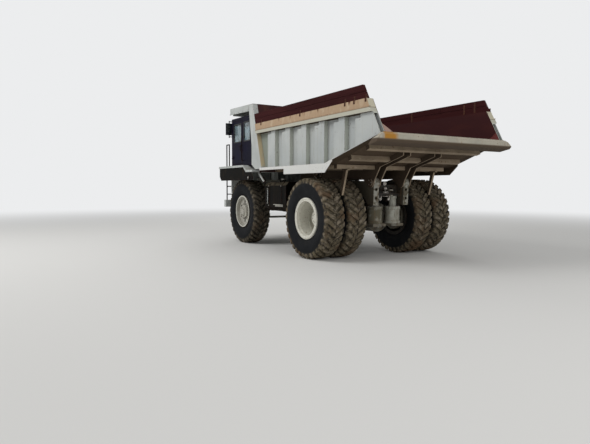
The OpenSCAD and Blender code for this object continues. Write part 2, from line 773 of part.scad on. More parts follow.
// Mirrors: one on arms from the cab's front corner, one on a post at the deck's right corner
module mirrors() {
    x = cab_x + cab_l + 60;
    y = cab_y + 60;
    z = cab_floor_z + cab_h - 360;
    color("#20202c") {
        union() {
            for (up = [-150, 300]) {
                span([cab_x + cab_l + seat, cab_y - 90, z + up - 20],
                    [cab_x + cab_l + 25, cab_y - 30, z + up + 20]);
                bar([cab_x + cab_l + 20, cab_y - 60, z + up], [x, y, z + up], 12);
            }
            bar([x, y, z - 180], [x, y, z + 330], 12);
            span([x - 30, y - 90, z - 100], [x + 10, y + 110, z + 250]);
        }
        union() {
            span([x - 40, -deck_y + 20, deck_z + seat], [x + 40, -deck_y + 100, deck_z + 15]);
            bar([x, -deck_y + 60, deck_z + 5], [x, -deck_y + 60, z], 16);
            bar([x, -deck_y + 60, z], [x, -y, z + 60], 14);
            bar([x, -y, z + 55], [x, -y, z + 330], 12);
            span([x - 30, -y - 110, z - 100], [x + 10, -y + 90, z + 250]);
        }
    }
}

module air_cleaner() {
    y = -1150;
    x = front_x - 200;
    z = deck_z + seat;
    color("#b9b8b0") union() {
        translate([x, y, z]) cylinder(r = 240, h = 620);
        translate([x, y, z + 620]) cylinder(r1 = 240, r2 = 120, h = 60);
        translate([x, y, z + 680]) cylinder(r = 150, h = 120);
        span([x - 280, y - 280, z], [x + 280, y + 280, z + 20]);
    }
}

// A tank's outline in Y and Z with its edges cut off, or that of a band round it, proud by more
module tank_slice(x0, x1, edge, more = 0) {
    z1 = rail_top_z - 20;
    y0 = tank_y - more;
    y1 = tank_y + tank_w + more;
    top = z1 + more;
    low = z1 - tank_h - more;
    end_cut([[y0, top], [y1 - edge, top], [y1, top - edge], [y1, low + edge], [y1 - edge, low],
        [y0 + edge, low], [y0, low + edge]], x0, x1);
}

// A tank slung between the wheels on two brackets that reach out from the rail, each with its band
module tank(x0, edge) {
    z1 = rail_top_z - 20;
    union() {
        tank_slice(x0, x0 + tank_l, edge);
        for (x = [x0 + 200, x0 + tank_l - 280]) {
            span([x, rail_y + rail_w / 2 + seat, z1 - 380], [x + 90, tank_y + 20, z1 - 200]);
            tank_slice(x + 15, x + 75, edge, 8);
        }
    }
}

module fuel_tank() {
    step_x = hoist_foot_x + 400;
    step_z = rail_top_z - 600;
    y1 = tank_y + tank_w + 8 + seat;
    color("#26251f") union() {
        tank(hoist_foot_x + 260, 90);
        translate([hoist_foot_x + 700, tank_y + tank_w - 180, rail_top_z - 25]) cylinder(r = 60, h = 70);
    }
    // Boarding step: a folded plate on the bands
    color("#b9b8b0") end_cut([[y1, step_z - 60], [y1 + 12, step_z - 60], [y1 + 12, step_z - 12],
        [y1 + 75, step_z - 12], [y1 + 75, step_z], [y1, step_z]], step_x, step_x + 400);
}

module hydraulic_tank() {
    color("#26251f") mirror([0, 1, 0]) union() {
        tank(hoist_foot_x + 260, 40);
        translate([hoist_foot_x + 900, tank_y + 160, rail_top_z - 25]) cylinder(r = 80, h = 50);
    }
}

// Front struts: a closed tube on each tower, in which the steering piston turns
module strut_tubes() {
    color("#8f9088") both_sides() difference() {
        union() {
            translate([front_x, kingpin_y, strut_foot_z]) {
                cylinder(r = strut_r, h = strut_top_z - strut_foot_z);
                cylinder(r = strut_r + 8, h = 60);
            }
        }
        translate([front_x, kingpin_y, strut_foot_z - 1]) cylinder(d = piston_d + 2 * run, h = 521);
        // The tower's end is let into the tube
        span([front_x - 90 - seat, 0, strut_foot_z + 110],
            [front_x + 90 + seat, tower_y + seat, strut_top_z - 60 + seat]);
    }
}

module knuckle(side) {
    y = side * kingpin_y;
    color("#8f9088") union() {
        translate([front_x, y, axle_z]) cylinder(d = piston_d, h = strut_foot_z + 480 - axle_z);
        span([front_x - 120, y - 105, axle_z - 140], [front_x + 120, y + 105, axle_z + 140]);
        translate([front_x, y, axle_z]) rotate([-90 * side, 0, 0]) {
            cylinder(d = stub_d, h = front_wheel_y - kingpin_y + 140);
            translate([0, 0, 100]) cylinder(r = 150, h = 60);
            translate([0, 0, 160]) cylinder(r = 300, h = 70);
        }
        span([front_x - steer_arm, y - 50, axle_z - 140], [front_x - 100, y + 50, axle_z - 80]);
        translate([front_x - steer_arm, y, axle_z - 140]) cylinder(r = 60, h = 60);
    }
}

module tie_rod() {
    z = axle_z - 140 - seat - tie_d / 2;
    x = front_x - steer_arm;
    color("#55564f") union() {
        rod_y(x, z, tie_d / 2, -kingpin_y + 40, kingpin_y - 40);
        both_sides() translate([x, kingpin_y, z - tie_d / 2]) cylinder(r = 55, h = tie_d);
    }
}

// Rear axle: a round centre housing, tapering arms, brakes and the two spindles
module rear_axle() {
    y1 = twin_inner_y - rim_w / 2 - 20;
    color("#8f9088") union() {
        rod_x(0, axle_z, 350, -330, pinion_x - 180);
        translate([pinion_x - 180, 0, axle_z]) rotate([0, 90, 0]) cylinder(r1 = 310, r2 = 130, h = 180);
        translate([-330, 0, axle_z]) rotate([0, -90, 0]) cylinder(r1 = 325, r2 = 260, h = 50);
        rod_y(0, axle_z, 190, -y1, y1);
        both_sides() {
            rod_y(0, axle_z, 260, y1 - 40, y1);
            rod_y(0, axle_z, brake_r, y1, y1 + 150);
            rod_y(0, axle_z, spindle_r, y1 + 150, (twin_inner_y + twin_outer_y) / 2 + 50);
            // Saddle that the strut's foot sits on
            span([rear_strut_x - rear_strut_r, rear_strut_y - rear_strut_r, rear_saddle_z - 60],
                [-100, rear_strut_y + rear_strut_r, rear_saddle_z]);
            // Draft arm: an A shape forward to the ball under the frame's cross member
            bar([0, 330, axle_z + 180], draft_ball, 45);
        }
        translate(draft_ball) sphere(r = draft_r);
    }
}

// Rear struts: short fat cylinders between the axle's saddles and the frame's rear cross member
module rear_struts() {
    low = rear_saddle_z + seat;
    top = rail_top_z - rail_depth + 30 - seat;
    color("#b5b4ac") both_sides() union() {
        translate([rear_strut_x, rear_strut_y, low]) {
            cylinder(r = rear_strut_r, h = 60);
            cylinder(r = rear_strut_r - 15, h = 330);
            translate([0, 0, 329]) cylinder(r = rear_strut_r, h = 70);
            translate([0, 0, 398]) cylinder(r = 85, h = top - low - 450);
        }
        translate([rear_strut_x, rear_strut_y, top - 60]) cylinder(r = 98, h = 60);
    }
}

// Bed hinge beams: two plates each side, straddling the frame's posts
module beam_outline() {
    ear = 115;
    top = floor_z - floor_t - seat;
    tail = beam_tail_x;
    polygon([[head_x - 40, top], [head_x - 40, beam_low_z + 30], [-pivot_x + 330, beam_low_z + 30],
        [-pivot_x + ear - 10, pivot_z - 50], [-pivot_x - ear + 20, pivot_z - 60],
        [-pivot_x - ear - 30, pivot_z + 60], [-pivot_x - 330, floor_z - floor_t - 40],
        [-tail, floor_at(-tail) - floor_t - 130], [-tail, floor_at(-tail) - floor_t - seat - 4],
        [-kick_x, top]]);
    translate([-pivot_x, pivot_z]) circle(r = ear);
}

module bed_underframe() {
    top = floor_z - floor_t - seat;
    color("#5e5248") {
        both_sides() {
            for (y = [beam_in, beam_out]) {
                translate([0, y + plate_t, 0]) rotate([90, 0, 0]) linear_extrude(plate_t) beam_outline();
            }
            span([-pivot_x + 330, beam_in, beam_low_z], [head_x - 40, beam_out + plate_t, beam_low_z + 30]);
            rod_y(-pivot_x, pivot_z, pivot_d / 2, beam_in, beam_out + plate_t);
            rod_y(-pivot_x, pivot_z, pivot_d / 2 + 25, beam_out + plate_t - 5, beam_out + plate_t + 20);
            // Hoist ears, hung from the floor
            for (y = [hoist_y - eye_w / 2 - gap - 20, hoist_y + eye_w / 2 + gap]) {
                side_cut([[hoist_head_x - 180, top], [hoist_head_x - 70, hoist_head_z - 30],
                    [hoist_head_x + 70, hoist_head_z - 30], [hoist_head_x + 180, top]], y, y + 20);
                rod_y(hoist_head_x, hoist_head_z, 75, y, y + 20);
            }
        }
        // Cross ribs under the flat floor, in line with the side ribs, then one where the floor bends
        rib_xs = [for (i = [0:3]) first_slot_x - (i + 0.5) * rib_pitch, -kick_x];
        for (x = rib_xs, y = cross_runs) {
            span([x - cross_w / 2, y[0], top - cross_d], [x + cross_w / 2, y[1], top]);
        }
        // Cross ribs under the rising tail: the last runs across behind the beams' ends
        translate([-kick_x, 0, top]) rotate([0, kick_slope, 0]) {
            for (y = cross_runs) span([-tail_ribs[0] - cross_w, y[0], -cross_d], [-tail_ribs[0], y[1], 0]);
            span([-tail_ribs[1] - cross_w, -cross_y, -cross_d], [-tail_ribs[1], cross_y, 0]);
        }
    }
}

// Gusset in the corner between the floor's tail and the left wall: it falls from the wall's edge
// to the floor, forward and inward, and its own tail edge leans as the wall's does
module tail_gusset() {
    slope = [for (side = gusset) 1 / side];
    front = gusset[0] - tail_x + 100;
    top = tail_z + 2 * gusset[2];
    intersection() {
        side_cut([[-tail_x, tail_z + seat], [tail_at(top), top], [front, top],
            [front, floor_at(front) + seat]], wall_y - gusset[1], wall_y);
        translate([-tail_x, wall_y, tail_z]) mirror([0, 1, 0]) rotate([0, kick_slope, 0])
            rotate([0, acos(slope[2] / norm(slope)), atan2(slope[1], slope[0])])
            translate([-1000, -1000, 1 / norm(slope) - 2000]) cube(2000);
    }
}

module bed_floor() {
    color("#3a2420") {
        side_cut([[head_x, floor_z], [-kick_x, floor_z], [-tail_x, tail_z], [-tail_x, tail_z - floor_t],
            [-kick_x, floor_z - floor_t], [head_x, floor_z - floor_t]], -wall_y, wall_y);
        both_sides() tail_gusset();
    }
}

// A band along the side wall between two heights, its ends leaning as the wall's do
module wall_band(z0, z1, y0, y1) {
    side_cut([[head_at(z0), z0], [head_at(z1), z1], [tail_at(z1), z1], [tail_at(z0), z0]], y0, y1);
}

// A side of the bed: plate, folded ribs, top rail and the ledge along its foot
module bed_side(side) {
    y0 = wall_y;
    y1 = wall_y + wall_t;
    low = floor_z - floor_t;
    mirror([0, side > 0 ? 0 : 1, 0]) color("#b9b8b0") union() {
        side_cut([[head_at(low), low], [head_at(rail_top_band), rail_top_band],
            [tail_at(rail_top_band), rail_top_band], [-tail_x, tail_z], [-tail_x, tail_z - floor_t],
            [-kick_x, low]], y0 + seat, y1);
        // Top rail, with the lip along its foot
        wall_band(rail_low_z, rail_top_band, y1 - 1, y1 + rail_out);
        wall_band(rail_low_z, rail_low_z + rail_lip_h, y1 + rail_out - 1, y1 + rail_out + rail_lip);
        // Ribs between the slots: each one's upper front corner is cut away under the rail
        intersection() {
            union() {
                for (i = [0:ribs - 1]) {
                    x = first_slot_x - slot_w / 2 - i * rib_pitch;
                    end = i == ribs - 1 ? -tail_x - 100 : x - rib_w;
                    difference() {
                        span([end, y1 - 1, low], [x, y1 + rib_out, rail_low_z + 1]);
                        span([end + rib_t, y1, low - 1], [x - rib_t, y1 + rib_out - rib_t, rail_low_z - 30]);
                        span([x - notch_l, y1, rail_low_z - notch_h],
                            [x + 1, y1 + rib_out + 1, rail_low_z + 2]);
                    }
                }
            }
            side_cut([[head_x + 300, low], [head_x + 300, rail_low_z + 1], [tail_at(rail_low_z), rail_low_z + 1],
                [-tail_x, tail_z], [-tail_x, tail_z - floor_t], [-kick_x, low]], 0, 3000);
        }
        // Ledge: a shelf with a flange that hangs lower over the tyres
        span([-kick_x, y1 - 1, low], [head_x - 120, ledge_y, floor_z]);
        side_cut([[head_x - 120, floor_z], [head_x - 120, ledge_front_z], [tyre_r + 20, ledge_front_z],
            [tyre_r + 20, ledge_rear_z], [-kick_x, ledge_rear_z], [-kick_x - 260, floor_at(-kick_x - 260) - 60],
            [-kick_x - 260, floor_at(-kick_x - 260)], [-kick_x, floor_z]], ledge_y - ledge_t, ledge_y);
        intersection() {
            side_cut([[-kick_x, floor_z], [-kick_x, low], [-tail_x, tail_z - floor_t], [-tail_x, tail_z]],
                y1 - 1, ledge_y);
            linear_extrude(4000) polygon([[-kick_x + 10, 0], [-kick_x + 10, ledge_y],
                [-kick_x - 260, ledge_y], [-tail_x, y1 + rib_out], [-tail_x, 0]]);
        }
    }
}

// Headboard: a plate that leans forward, stiffened across its front, between two end plates that
// stand outside the cab
module headboard() {
    low = floor_z - floor_t;
    z_mid = floor_z + (head_top_z - floor_z) * 0.37;
    front = head_x + head_depth;
    top = head_top_z - seat;
    stiffener_pitch = (head_top_z - floor_z - 760) / 2;
    color("#b9b8b0") union() {
        side_cut([[head_at(floor_z) + 1, floor_z + seat], [head_at(top), top],
            [head_at(top) + head_t, top], [head_at(floor_z) + head_t, floor_z + seat]], -head_end_y, head_end_y);
        both_sides() side_cut([[head_at(low) + seat, low], [head_at(top) + seat, top],
            [head_at(top) + head_reach, top], [front, z_mid], [front, deck_z], [head_x + 380, low]],
            head_end_y - 1, head_end_y + head_end_t);
        for (z = [for (i = [0:2]) floor_z + 290 + i * stiffener_pitch]) {
            side_cut([[head_at(z) + head_t - 1, z], [head_at(z + 160) + head_t - 1, z + 160],
                [head_at(z + 130) + 160, z + 130], [head_at(z + 30) + 160, z + 30]], -head_end_y, head_end_y);
        }
    }
}

module canopy() {
    x0 = head_at(head_top_z);
    x1 = x0 + canopy_l;
    z0 = head_top_z;
    y = head_end_y + head_end_t;
    rise = 40;
    corner = 180;
    fold_x = x0 + head_reach + seat;
    color("#b9b8b0") union() {
        difference() {
            side_cut([[x0, z0], [x0, z0 + canopy_t], [x1, z0 + rise + canopy_t],
                [x1, z0 + rise - canopy_fold], [fold_x + 10, z0 - canopy_fold], [fold_x, z0]], -y, y);
            side_cut([[fold_x - 10, z0 - canopy_fold - 60], [fold_x - 10, z0 + 3], [x1 - canopy_t, z0 + rise - 3],
                [x1 - canopy_t, z0 - canopy_fold - 60]], -y + canopy_t, y - canopy_t);
            both_sides() translate([x1 + 1, y + 1, z0 - 500]) linear_extrude(1000)
                polygon([[0, 0], [-corner, 0], [0, -corner]]);
        }
        // Ribs under the roof
        for (x = [x0 + 620, x0 + 1080]) {
            span([x, -y + canopy_t - 1, z0 - 70], [x + 60, y - canopy_t + 1, z0 + 20]);
        }
    }
}

module tail_lip() {
    back = -tail_x - lip_back;
    color("#a39c8e") intersection() {
        side_cut([[-tail_x + seat - 40, tail_z + seat], [back + 40, tail_z], [back, tail_z - 40],
            [back, lip_low_z + 40], [back + 40, lip_low_z], [-tail_x + 180, lip_low_z - 50],
            [-tail_x + 180, lip_low_z - 30], [-tail_x - seat, tail_z - floor_t - seat - 60],
            [-tail_x - seat, tail_z + seat]], -lip_y, lip_y);
        end_cut([[-lip_top_y, tail_z + 10], [-lip_y, lip_low_z + 60], [-lip_y + 20, lip_low_z - 60],
            [lip_y - 20, lip_low_z - 60], [lip_y, lip_low_z + 60], [lip_top_y, tail_z + 10]], -3000, -2000);
    }
}

module side_boards() {
    y = wall_y + wall_t + rail_out - board_t - 20;
    z0 = rail_top_band + seat;
    color("#3a1e1e") both_sides() {
        side_cut([[head_at(z0) - 5, z0], [head_at(board_top_z) - 5, board_top_z],
            [tail_at(board_top_z), board_top_z], [tail_at(z0), z0]], y, y + board_t);
    }
}

// Bars that hang between the twin tyres to knock out stones
module rock_ejectors() {
    y = (twin_inner_y + twin_outer_y) / 2;
    w = 25;
    top = floor_z - floor_t - cross_d - 2 * seat;
    x = kick_x;
    tip_z = 2 * tyre_r - 390;
    color("#8f9088") both_sides() union() {
        side_cut([[-x - 40, top], [-x + 60, top], [-x + 190, tip_z + 30], [-x + 130, tip_z]], y - w, y + w);
        span([-x - 90, y - w - 12, top - 30], [-x + 110, y + w + 12, top]);
    }
}

// Hoists, drawn upright and then leaned to their rest angle
module leaned(side) {
    translate([hoist_foot_x, side * hoist_y, hoist_foot_z]) rotate([0, 90 - hoist_lean, 0]) children();
}

barrel_top = hoist_l - 170;
sleeve_top = hoist_l - 135;

module hoist_barrel(side) {
    color("#8f9088") leaned(side) difference() {
        union() {
            translate([0, eye_w / 2, 0]) rotate([90, 0, 0]) cylinder(r = 90, h = eye_w);
            translate([0, 0, 60]) cylinder(d = barrel_d, h = barrel_top - 60);
        }
        translate([0, eye_w, 0]) rotate([90, 0, 0]) cylinder(d = hoist_pin_d + 2 * run, h = 2 * eye_w);
        translate([0, 0, 100]) cylinder(d = sleeve_d + 2 * run, h = hoist_l);
    }
}

module hoist_sleeve(side) {
    color("#c8c8c4") leaned(side) difference() {
        translate([0, 0, 110]) cylinder(d = sleeve_d, h = sleeve_top - 110);
        translate([0, 0, 130]) cylinder(d = rod_d + 2 * run, h = hoist_l);
    }
}

module hoist_rod(side) {
    color("#c8c8c4") leaned(side) union() {
        translate([0, 0, 140]) cylinder(d = rod_d, h = hoist_l - 140 - 40);
        translate([0, eye_w / 2, hoist_l]) rotate([90, 0, 0]) cylinder(r = eye_r, h = eye_w);
    }
}

module cab_door() {
    t = cab_t;
    color("#1c1a30") union() {
        difference() {
            span([door_x0, cab_y - t, door_z0], [door_x1, cab_y, door_z1]);
            span([door_x0 + 70, cab_y - t - 1, sill_z], [door_x1 - 70, cab_y + 1, pane_top - 20]);
        }
        // Hinge leaves, each with its eye over the cab's pin
        for (z = hinge_zs) difference() {
            union() {
                span([hinge_x - 60, cab_y - 5, z + 40 + seat], [hinge_x, hinge_y, z + 80]);
                translate([hinge_x, hinge_y, z + 40 + seat]) cylinder(r = hinge_r, h = 40 - seat);
            }
            translate([hinge_x, hinge_y, z]) cylinder(r = hinge_pin_r + run, h = 100);
        }
        // Handle
        bar([door_x0 + 60, cab_y + 30, sill_z - 120], [door_x0 + 200, cab_y + 30, sill_z - 120], 9);
        for (x = [door_x0 + 60, door_x0 + 200]) rod_y(x, sill_z - 120, 9, cab_y - 5, cab_y + 30);
    }
}

module door_glass() {
    color([0.6, 0.75, 0.8, 0.4]) span([door_x0 + 70 + seat, cab_y - cab_t / 2, sill_z + seat],
        [door_x1 - 70 - seat, cab_y - cab_t / 2 + pane_t, pane_top - 20 - seat]);
}

module tyres_rear(side) {
    for (y = [twin_inner_y, twin_outer_y]) tyre(0, side * y);
}

place() frame();
place() bumper();
place() nose_panel();
place() hood();
place() engine_block();
place() transmission();
place() deck();
place() skirts();
place() cab_shell();
place() cab_glass();
place() cab_inside();
place() ladder();
place() mirrors();
place() air_cleaner();
place() fuel_tank();
place() hydraulic_tank();
place() strut_tubes();
place() rear_axle();
place() rear_struts();
place() cab_door();
place() door_glass();
place() knuckle(1);  // knuckle_left
place() knuckle(-1);  // knuckle_right
place() tie_rod();
place() tyre(front_x, front_wheel_y);  // tyre_front_left
place() front_rim(1);  // rim_front_left
place() tyre(front_x, -front_wheel_y);  // tyre_front_right
place() front_rim(-1);  // rim_front_right
place() tyres_rear(1);  // tyres_rear_left
place() rear_rims(1);  // rims_rear_left
place() tyres_rear(-1);  // tyres_rear_right
place() rear_rims(-1);  // rims_rear_right
place() bed_floor();
place() bed_side(1);  // bed_side_left
place() bed_side(-1);  // bed_side_right
place() headboard();
place() canopy();
place() tail_lip();
place() bed_underframe();
place() side_boards();
place() rock_ejectors();
place() hoist_barrel(1);  // hoist_barrel_left
place() hoist_sleeve(1);  // hoist_sleeve_left
place() hoist_rod(1);  // hoist_rod_left
place() hoist_barrel(-1);  // hoist_barrel_right
place() hoist_sleeve(-1);  // hoist_sleeve_right
place() hoist_rod(-1);  // hoist_rod_right
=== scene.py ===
"""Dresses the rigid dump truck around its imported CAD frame: finishes, treaded tyres, trim, stage and camera."""

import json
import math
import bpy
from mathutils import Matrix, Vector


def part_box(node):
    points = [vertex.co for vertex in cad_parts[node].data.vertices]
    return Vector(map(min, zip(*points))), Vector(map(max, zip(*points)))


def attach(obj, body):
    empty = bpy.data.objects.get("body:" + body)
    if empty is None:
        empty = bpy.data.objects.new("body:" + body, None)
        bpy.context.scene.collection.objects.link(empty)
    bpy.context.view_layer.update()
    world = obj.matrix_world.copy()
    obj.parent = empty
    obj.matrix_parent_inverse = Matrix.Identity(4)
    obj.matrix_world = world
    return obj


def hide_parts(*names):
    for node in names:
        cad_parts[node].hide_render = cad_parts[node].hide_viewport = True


bl_info = {
    "name": "Rigid dump truck",
    "version": (1, 0, 0),
    "blender": (4, 5, 0),
    "location": "3D View > Sidebar > Dump truck",
    "description": "Finishes, treaded tyres and trim of a rigid dump truck, built around its CAD model",
    "category": "Object",
}

import bmesh
import bpy
import numpy as np
from bpy.props import FloatProperty, FloatVectorProperty, IntProperty, PointerProperty
from bpy.types import Operator, Panel, PropertyGroup
from mathutils import Matrix, Vector

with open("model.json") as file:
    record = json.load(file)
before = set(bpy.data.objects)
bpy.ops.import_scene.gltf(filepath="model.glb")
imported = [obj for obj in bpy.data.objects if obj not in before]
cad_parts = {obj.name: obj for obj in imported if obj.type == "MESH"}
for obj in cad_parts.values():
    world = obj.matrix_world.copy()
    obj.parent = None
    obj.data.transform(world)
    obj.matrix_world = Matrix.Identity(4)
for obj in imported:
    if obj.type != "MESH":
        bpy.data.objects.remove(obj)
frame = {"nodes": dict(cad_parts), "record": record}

# Places in metres, in the frame's own axes: X forward, Y left, Z up, ground at zero
X, Y, Z = range(3)
FRONT_TYRE, REAR_TYRES = np.array(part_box("tyre_front_left")), np.array(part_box("tyres_rear_left"))
FRONT_X, FRONT_Y = FRONT_TYRE.mean(0)[:2]
REAR_X = REAR_TYRES.mean(0)[X]
AXLE_Z = TYRE_R = FRONT_TYRE[1, Z] / 2
TYRE_W = FRONT_TYRE[1, Y] - FRONT_TYRE[0, Y]
TWIN_IN_Y, TWIN_OUT_Y = REAR_TYRES[0, Y] + TYRE_W / 2, REAR_TYRES[1, Y] - TYRE_W / 2
SIDES = (("left", 1), ("right", -1))
# On the bed: the plate of its sides, the foot of the headboard, the foot of the rail and the top of the rail's lip
WALL_Y, HEAD_X, RAIL_FOOT, LIP_TOP = 1.64, REAR_X + 2.2, 3.09, 3.172


def head_at(z):
    """Where the bed's sides meet the headboard at a height, measured from the rear axle."""
    return 2.38 + (z - 2.16) * 0.297


def tail_at(z):
    """Where the bed's sides end behind at a height, measured from the rear axle."""
    return -2.5 + (z - 2.68) * 0.552


def linear(code):
    """An sRGB hex colour as the linear RGBA that a shader takes."""
    c = np.array([int(code[i:i + 2], 16) for i in (1, 3, 5)]) / 255
    return (*np.where(c <= 0.04045, c / 12.92, ((c + 0.055) / 1.055) ** 2.4), 1.0)


# Shapes: each is a pair, its points as an N x 3 array and its faces as lists of point numbers

def quads(rows, cols, round_rows=False, round_cols=False):
    """Faces of a rows x cols grid, where point (i, j) has the number i * cols + j."""
    i, j = np.meshgrid(np.arange(rows - (not round_rows)), np.arange(cols - (not round_cols)), indexing="ij")
    k, m = (i + 1) % rows, (j + 1) % cols
    return np.stack([i * cols + j, i * cols + m, k * cols + m, k * cols + j], -1).reshape(-1, 4).tolist()


def end_caps(rows, cols):
    """The two faces that close a grid's first and last row."""
    return [list(range(cols)), list(range((rows - 1) * cols, rows * cols))[::-1]]


def circle(steps):
    """Angles round a full turn."""
    return np.linspace(0, 2 * math.pi, steps, endpoint=False)


def disc(radius, steps):
    """A round outline: (r cos a, r sin a)."""
    a = circle(steps)
    return np.stack([radius * np.cos(a), radius * np.sin(a)], -1)


def rectangle(low, high):
    """The outline of a rectangle from its low to its high corner."""
    (a, b), (c, d) = low, high
    return [(a, b), (c, b), (c, d), (a, d)]


def loop_round(low, high, axis, at, radius=0.03):
    """A path round a rectangle with rounded corners, in the flat across an axis: each corner is a quarter circle
    c + radius (cos a, sin a), and straight runs join them."""
    (a0, b0), (a1, b1) = np.add(low, radius), np.subtract(high, radius)
    a = np.linspace(0, math.pi / 2, 5)
    arcs = [np.stack([p + radius * np.cos(a + k * math.pi / 2), q + radius * np.sin(a + k * math.pi / 2)], -1)
            for k, (p, q) in enumerate([(a1, b1), (a0, b1), (a0, b0), (a1, b0)])]
    return np.insert(np.concatenate(arcs), axis, at, axis=1)


def bent(corners, radius):
    """A path through corners with each inner corner rounded: a quarter-like curve
    p(t) = (1-t)^2 a + 2t(1-t) c + t^2 b between points a and b at the radius from corner c."""
    c = np.asarray(corners, float)
    t = np.linspace(0, 1, 6)[:, None]
    back, ahead = c[:-2] - c[1:-1], c[2:] - c[1:-1]
    a = c[1:-1] + back / np.linalg.norm(back, axis=1)[:, None] * radius
    b = c[1:-1] + ahead / np.linalg.norm(ahead, axis=1)[:, None] * radius
    bends = (1 - t) ** 2 * a[:, None] + 2 * t * (1 - t) * c[1:-1, None] + t ** 2 * b[:, None]
    return np.concatenate([c[:1], bends.reshape(-1, 3), c[-1:]])


def turned(outline, at=(0, 0, 0), steps=64, closed=False):
    """An outline of (radius, height) turned about Z: p(a, t) = (r(t) cos a, r(t) sin a, h(t)) + at."""
    r, h = np.asarray(outline, float).T
    a = circle(steps)[:, None]
    points = np.stack([r * np.cos(a), r * np.sin(a), h + 0 * a], -1).reshape(-1, 3) + at
    return points, quads(steps, len(r), True, closed)


def carried(outline, path, closed=False):
    """An outline of (a, b) carried along a path: p(s, t) = c(s) + a(t) u(s) + b(t) v(s), where u and v are
    square to the path's run, and u is square to the flat that the path lies in, as near as it has one."""
    path, outline = np.asarray(path, float), np.asarray(outline, float)
    run = np.roll(path, -1, 0) - np.roll(path, 1, 0) if closed else np.gradient(path, axis=0)
    run /= np.linalg.norm(run, axis=1)[:, None]
    out = np.linalg.svd(path - path.mean(0))[2][-1]
    u = out - (run @ out)[:, None] * run
    u /= np.linalg.norm(u, axis=1)[:, None]
    v = np.cross(run, u)
    points = path[:, None] + outline[None, :, :1] * u[:, None] + outline[None, :, 1:] * v[:, None]
    rows, cols = len(path), len(outline)
    return points.reshape(-1, 3), quads(rows, cols, closed, True) + ([] if closed else end_caps(rows, cols))


def pushed(outline, low, high, axis=Y):
    """An outline in the other two axes, pushed along an axis: p(i, t) = outline(i) + (low + t (high - low)) axis."""
    n = len(outline)
    ends = [np.insert(np.asarray(outline, float), axis, value, axis=1) for value in (low, high)]
    ring = [[i, (i + 1) % n, n + (i + 1) % n, n + i] for i in range(n)]
    return np.concatenate(ends), end_caps(2, n) + ring


def aimed(shape, at, toward):
    """A shape drawn about Z, turned so that Z points toward, then moved to at."""
    z = np.asarray(toward, float) / np.linalg.norm(toward)
    x = np.cross([0, 1, 0] if abs(z[Y]) < 0.9 else [1, 0, 0], z)
    x /= np.linalg.norm(x)
    return shape[0] @ np.stack([x, np.cross(z, x), z]) + at, shape[1]


def joined(*shapes):
    """Several shapes as one."""
    starts = np.cumsum([0] + [len(s[0]) for s in shapes[:-1]])
    return np.concatenate([s[0] for s in shapes]), [[v + k for v in f] for s, k in zip(shapes, starts) for f in s[1]]


def shifted(shape, by):
    """A shape moved by a distance along each axis."""
    return shape[0] + np.asarray(by, float), shape[1]


def many(shape, places):
    """A shape at each of several places."""
    return joined(*[shifted(shape, place) for place in places])


def from_axle(*shapes):
    """Several shapes as one, drawn with x measured from the rear axle."""
    return shifted(joined(*shapes), (REAR_X, 0, 0))


def flipped(shape):
    """The mirror image of a shape across the truck's middle, y -> -y."""
    return shape[0] * [1, -1, 1], [f[::-1] for f in shape[1]]


def mirrored(*shapes):
    """Several shapes and their mirror image as one."""
    shape = joined(*shapes)
    return joined(shape, flipped(shape))


def hex_bolt(size):
    """A hexagon head on its washer, standing on z = 0. Size is the head's width over its corners."""
    r = size / 2
    washer = turned([(0, 0), (r * 1.25, 0), (r * 1.25, r * 0.15), (0, r * 0.15)], steps=16)
    head = turned([(0, r * 0.14), (r, r * 0.14), (r, r * 0.75), (r * 0.8, r * 0.85), (0, r * 0.85)], steps=6)
    return joined(washer, head)


def bolt_ring(size, count, radius, at, toward, start=0.0):
    """Bolts round a circle about at, which faces toward: each is turned by its own angle from the start."""
    points, faces = shifted(hex_bolt(size), (radius, 0, 0))
    angles = start + np.arange(count) * 2 * math.pi / count
    turns = [[[math.cos(a), math.sin(a), 0], [-math.sin(a), math.cos(a), 0], [0, 0, 1]] for a in angles]
    return aimed(joined(*[(points @ np.array(turn), faces) for turn in turns]), at, toward)


def make(name, shape, finish, body, bevel=0.0, smooth=35, marks=None):
    """Turns a shape into an object: doubles merged, faces outward, edges sharp past an angle, riding on a body."""
    points, faces = shape
    mesh = bpy.data.meshes.new(name)
    mesh.from_pydata(points.tolist(), [], faces)
    for label, values in (marks or {}).items():
        mesh.attributes.new(label, "FLOAT", "POINT").data.foreach_set("value", np.asarray(values, np.float32))
    shell = bmesh.new()
    shell.from_mesh(mesh)
    bmesh.ops.remove_doubles(shell, verts=shell.verts, dist=1e-5)
    bmesh.ops.dissolve_degenerate(shell, edges=shell.edges, dist=1e-6)
    bmesh.ops.recalc_face_normals(shell, faces=shell.faces)
    shell.to_mesh(mesh)
    shell.free()
    mesh.shade_smooth()
    mesh.set_sharp_from_angle(angle=math.radians(smooth))
    mesh.materials.append(finish_of(finish))
    obj = bpy.data.objects.new(name, mesh)
    bpy.context.scene.collection.objects.link(obj)
    if bevel:
        edges = obj.modifiers.new("edges", "BEVEL")
        edges.width, edges.segments, edges.angle_limit = bevel, 2, math.radians(40)
        edges.harden_normals = True
    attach(obj, body)
    return obj


# Materials

def add_node(tree, kind, settings=None, links=None):
    """Adds a node: settings are its own properties, links its inputs by name or number, each a value or a socket."""
    node = tree.nodes.new("ShaderNode" + kind)
    for key, value in (settings or {}).items():
        setattr(node, key, value)
    for key, value in (links or {}).items():
        if isinstance(value, bpy.types.NodeSocket):
            tree.links.new(value, node.inputs[key])
        else:
            node.inputs[key].default_value = value
    return node


def empty_tree(owner):
    """Turns on the nodes of a material or world, and takes out those that it comes with."""
    owner.use_nodes = True
    owner.node_tree.nodes.clear()
    return owner.node_tree


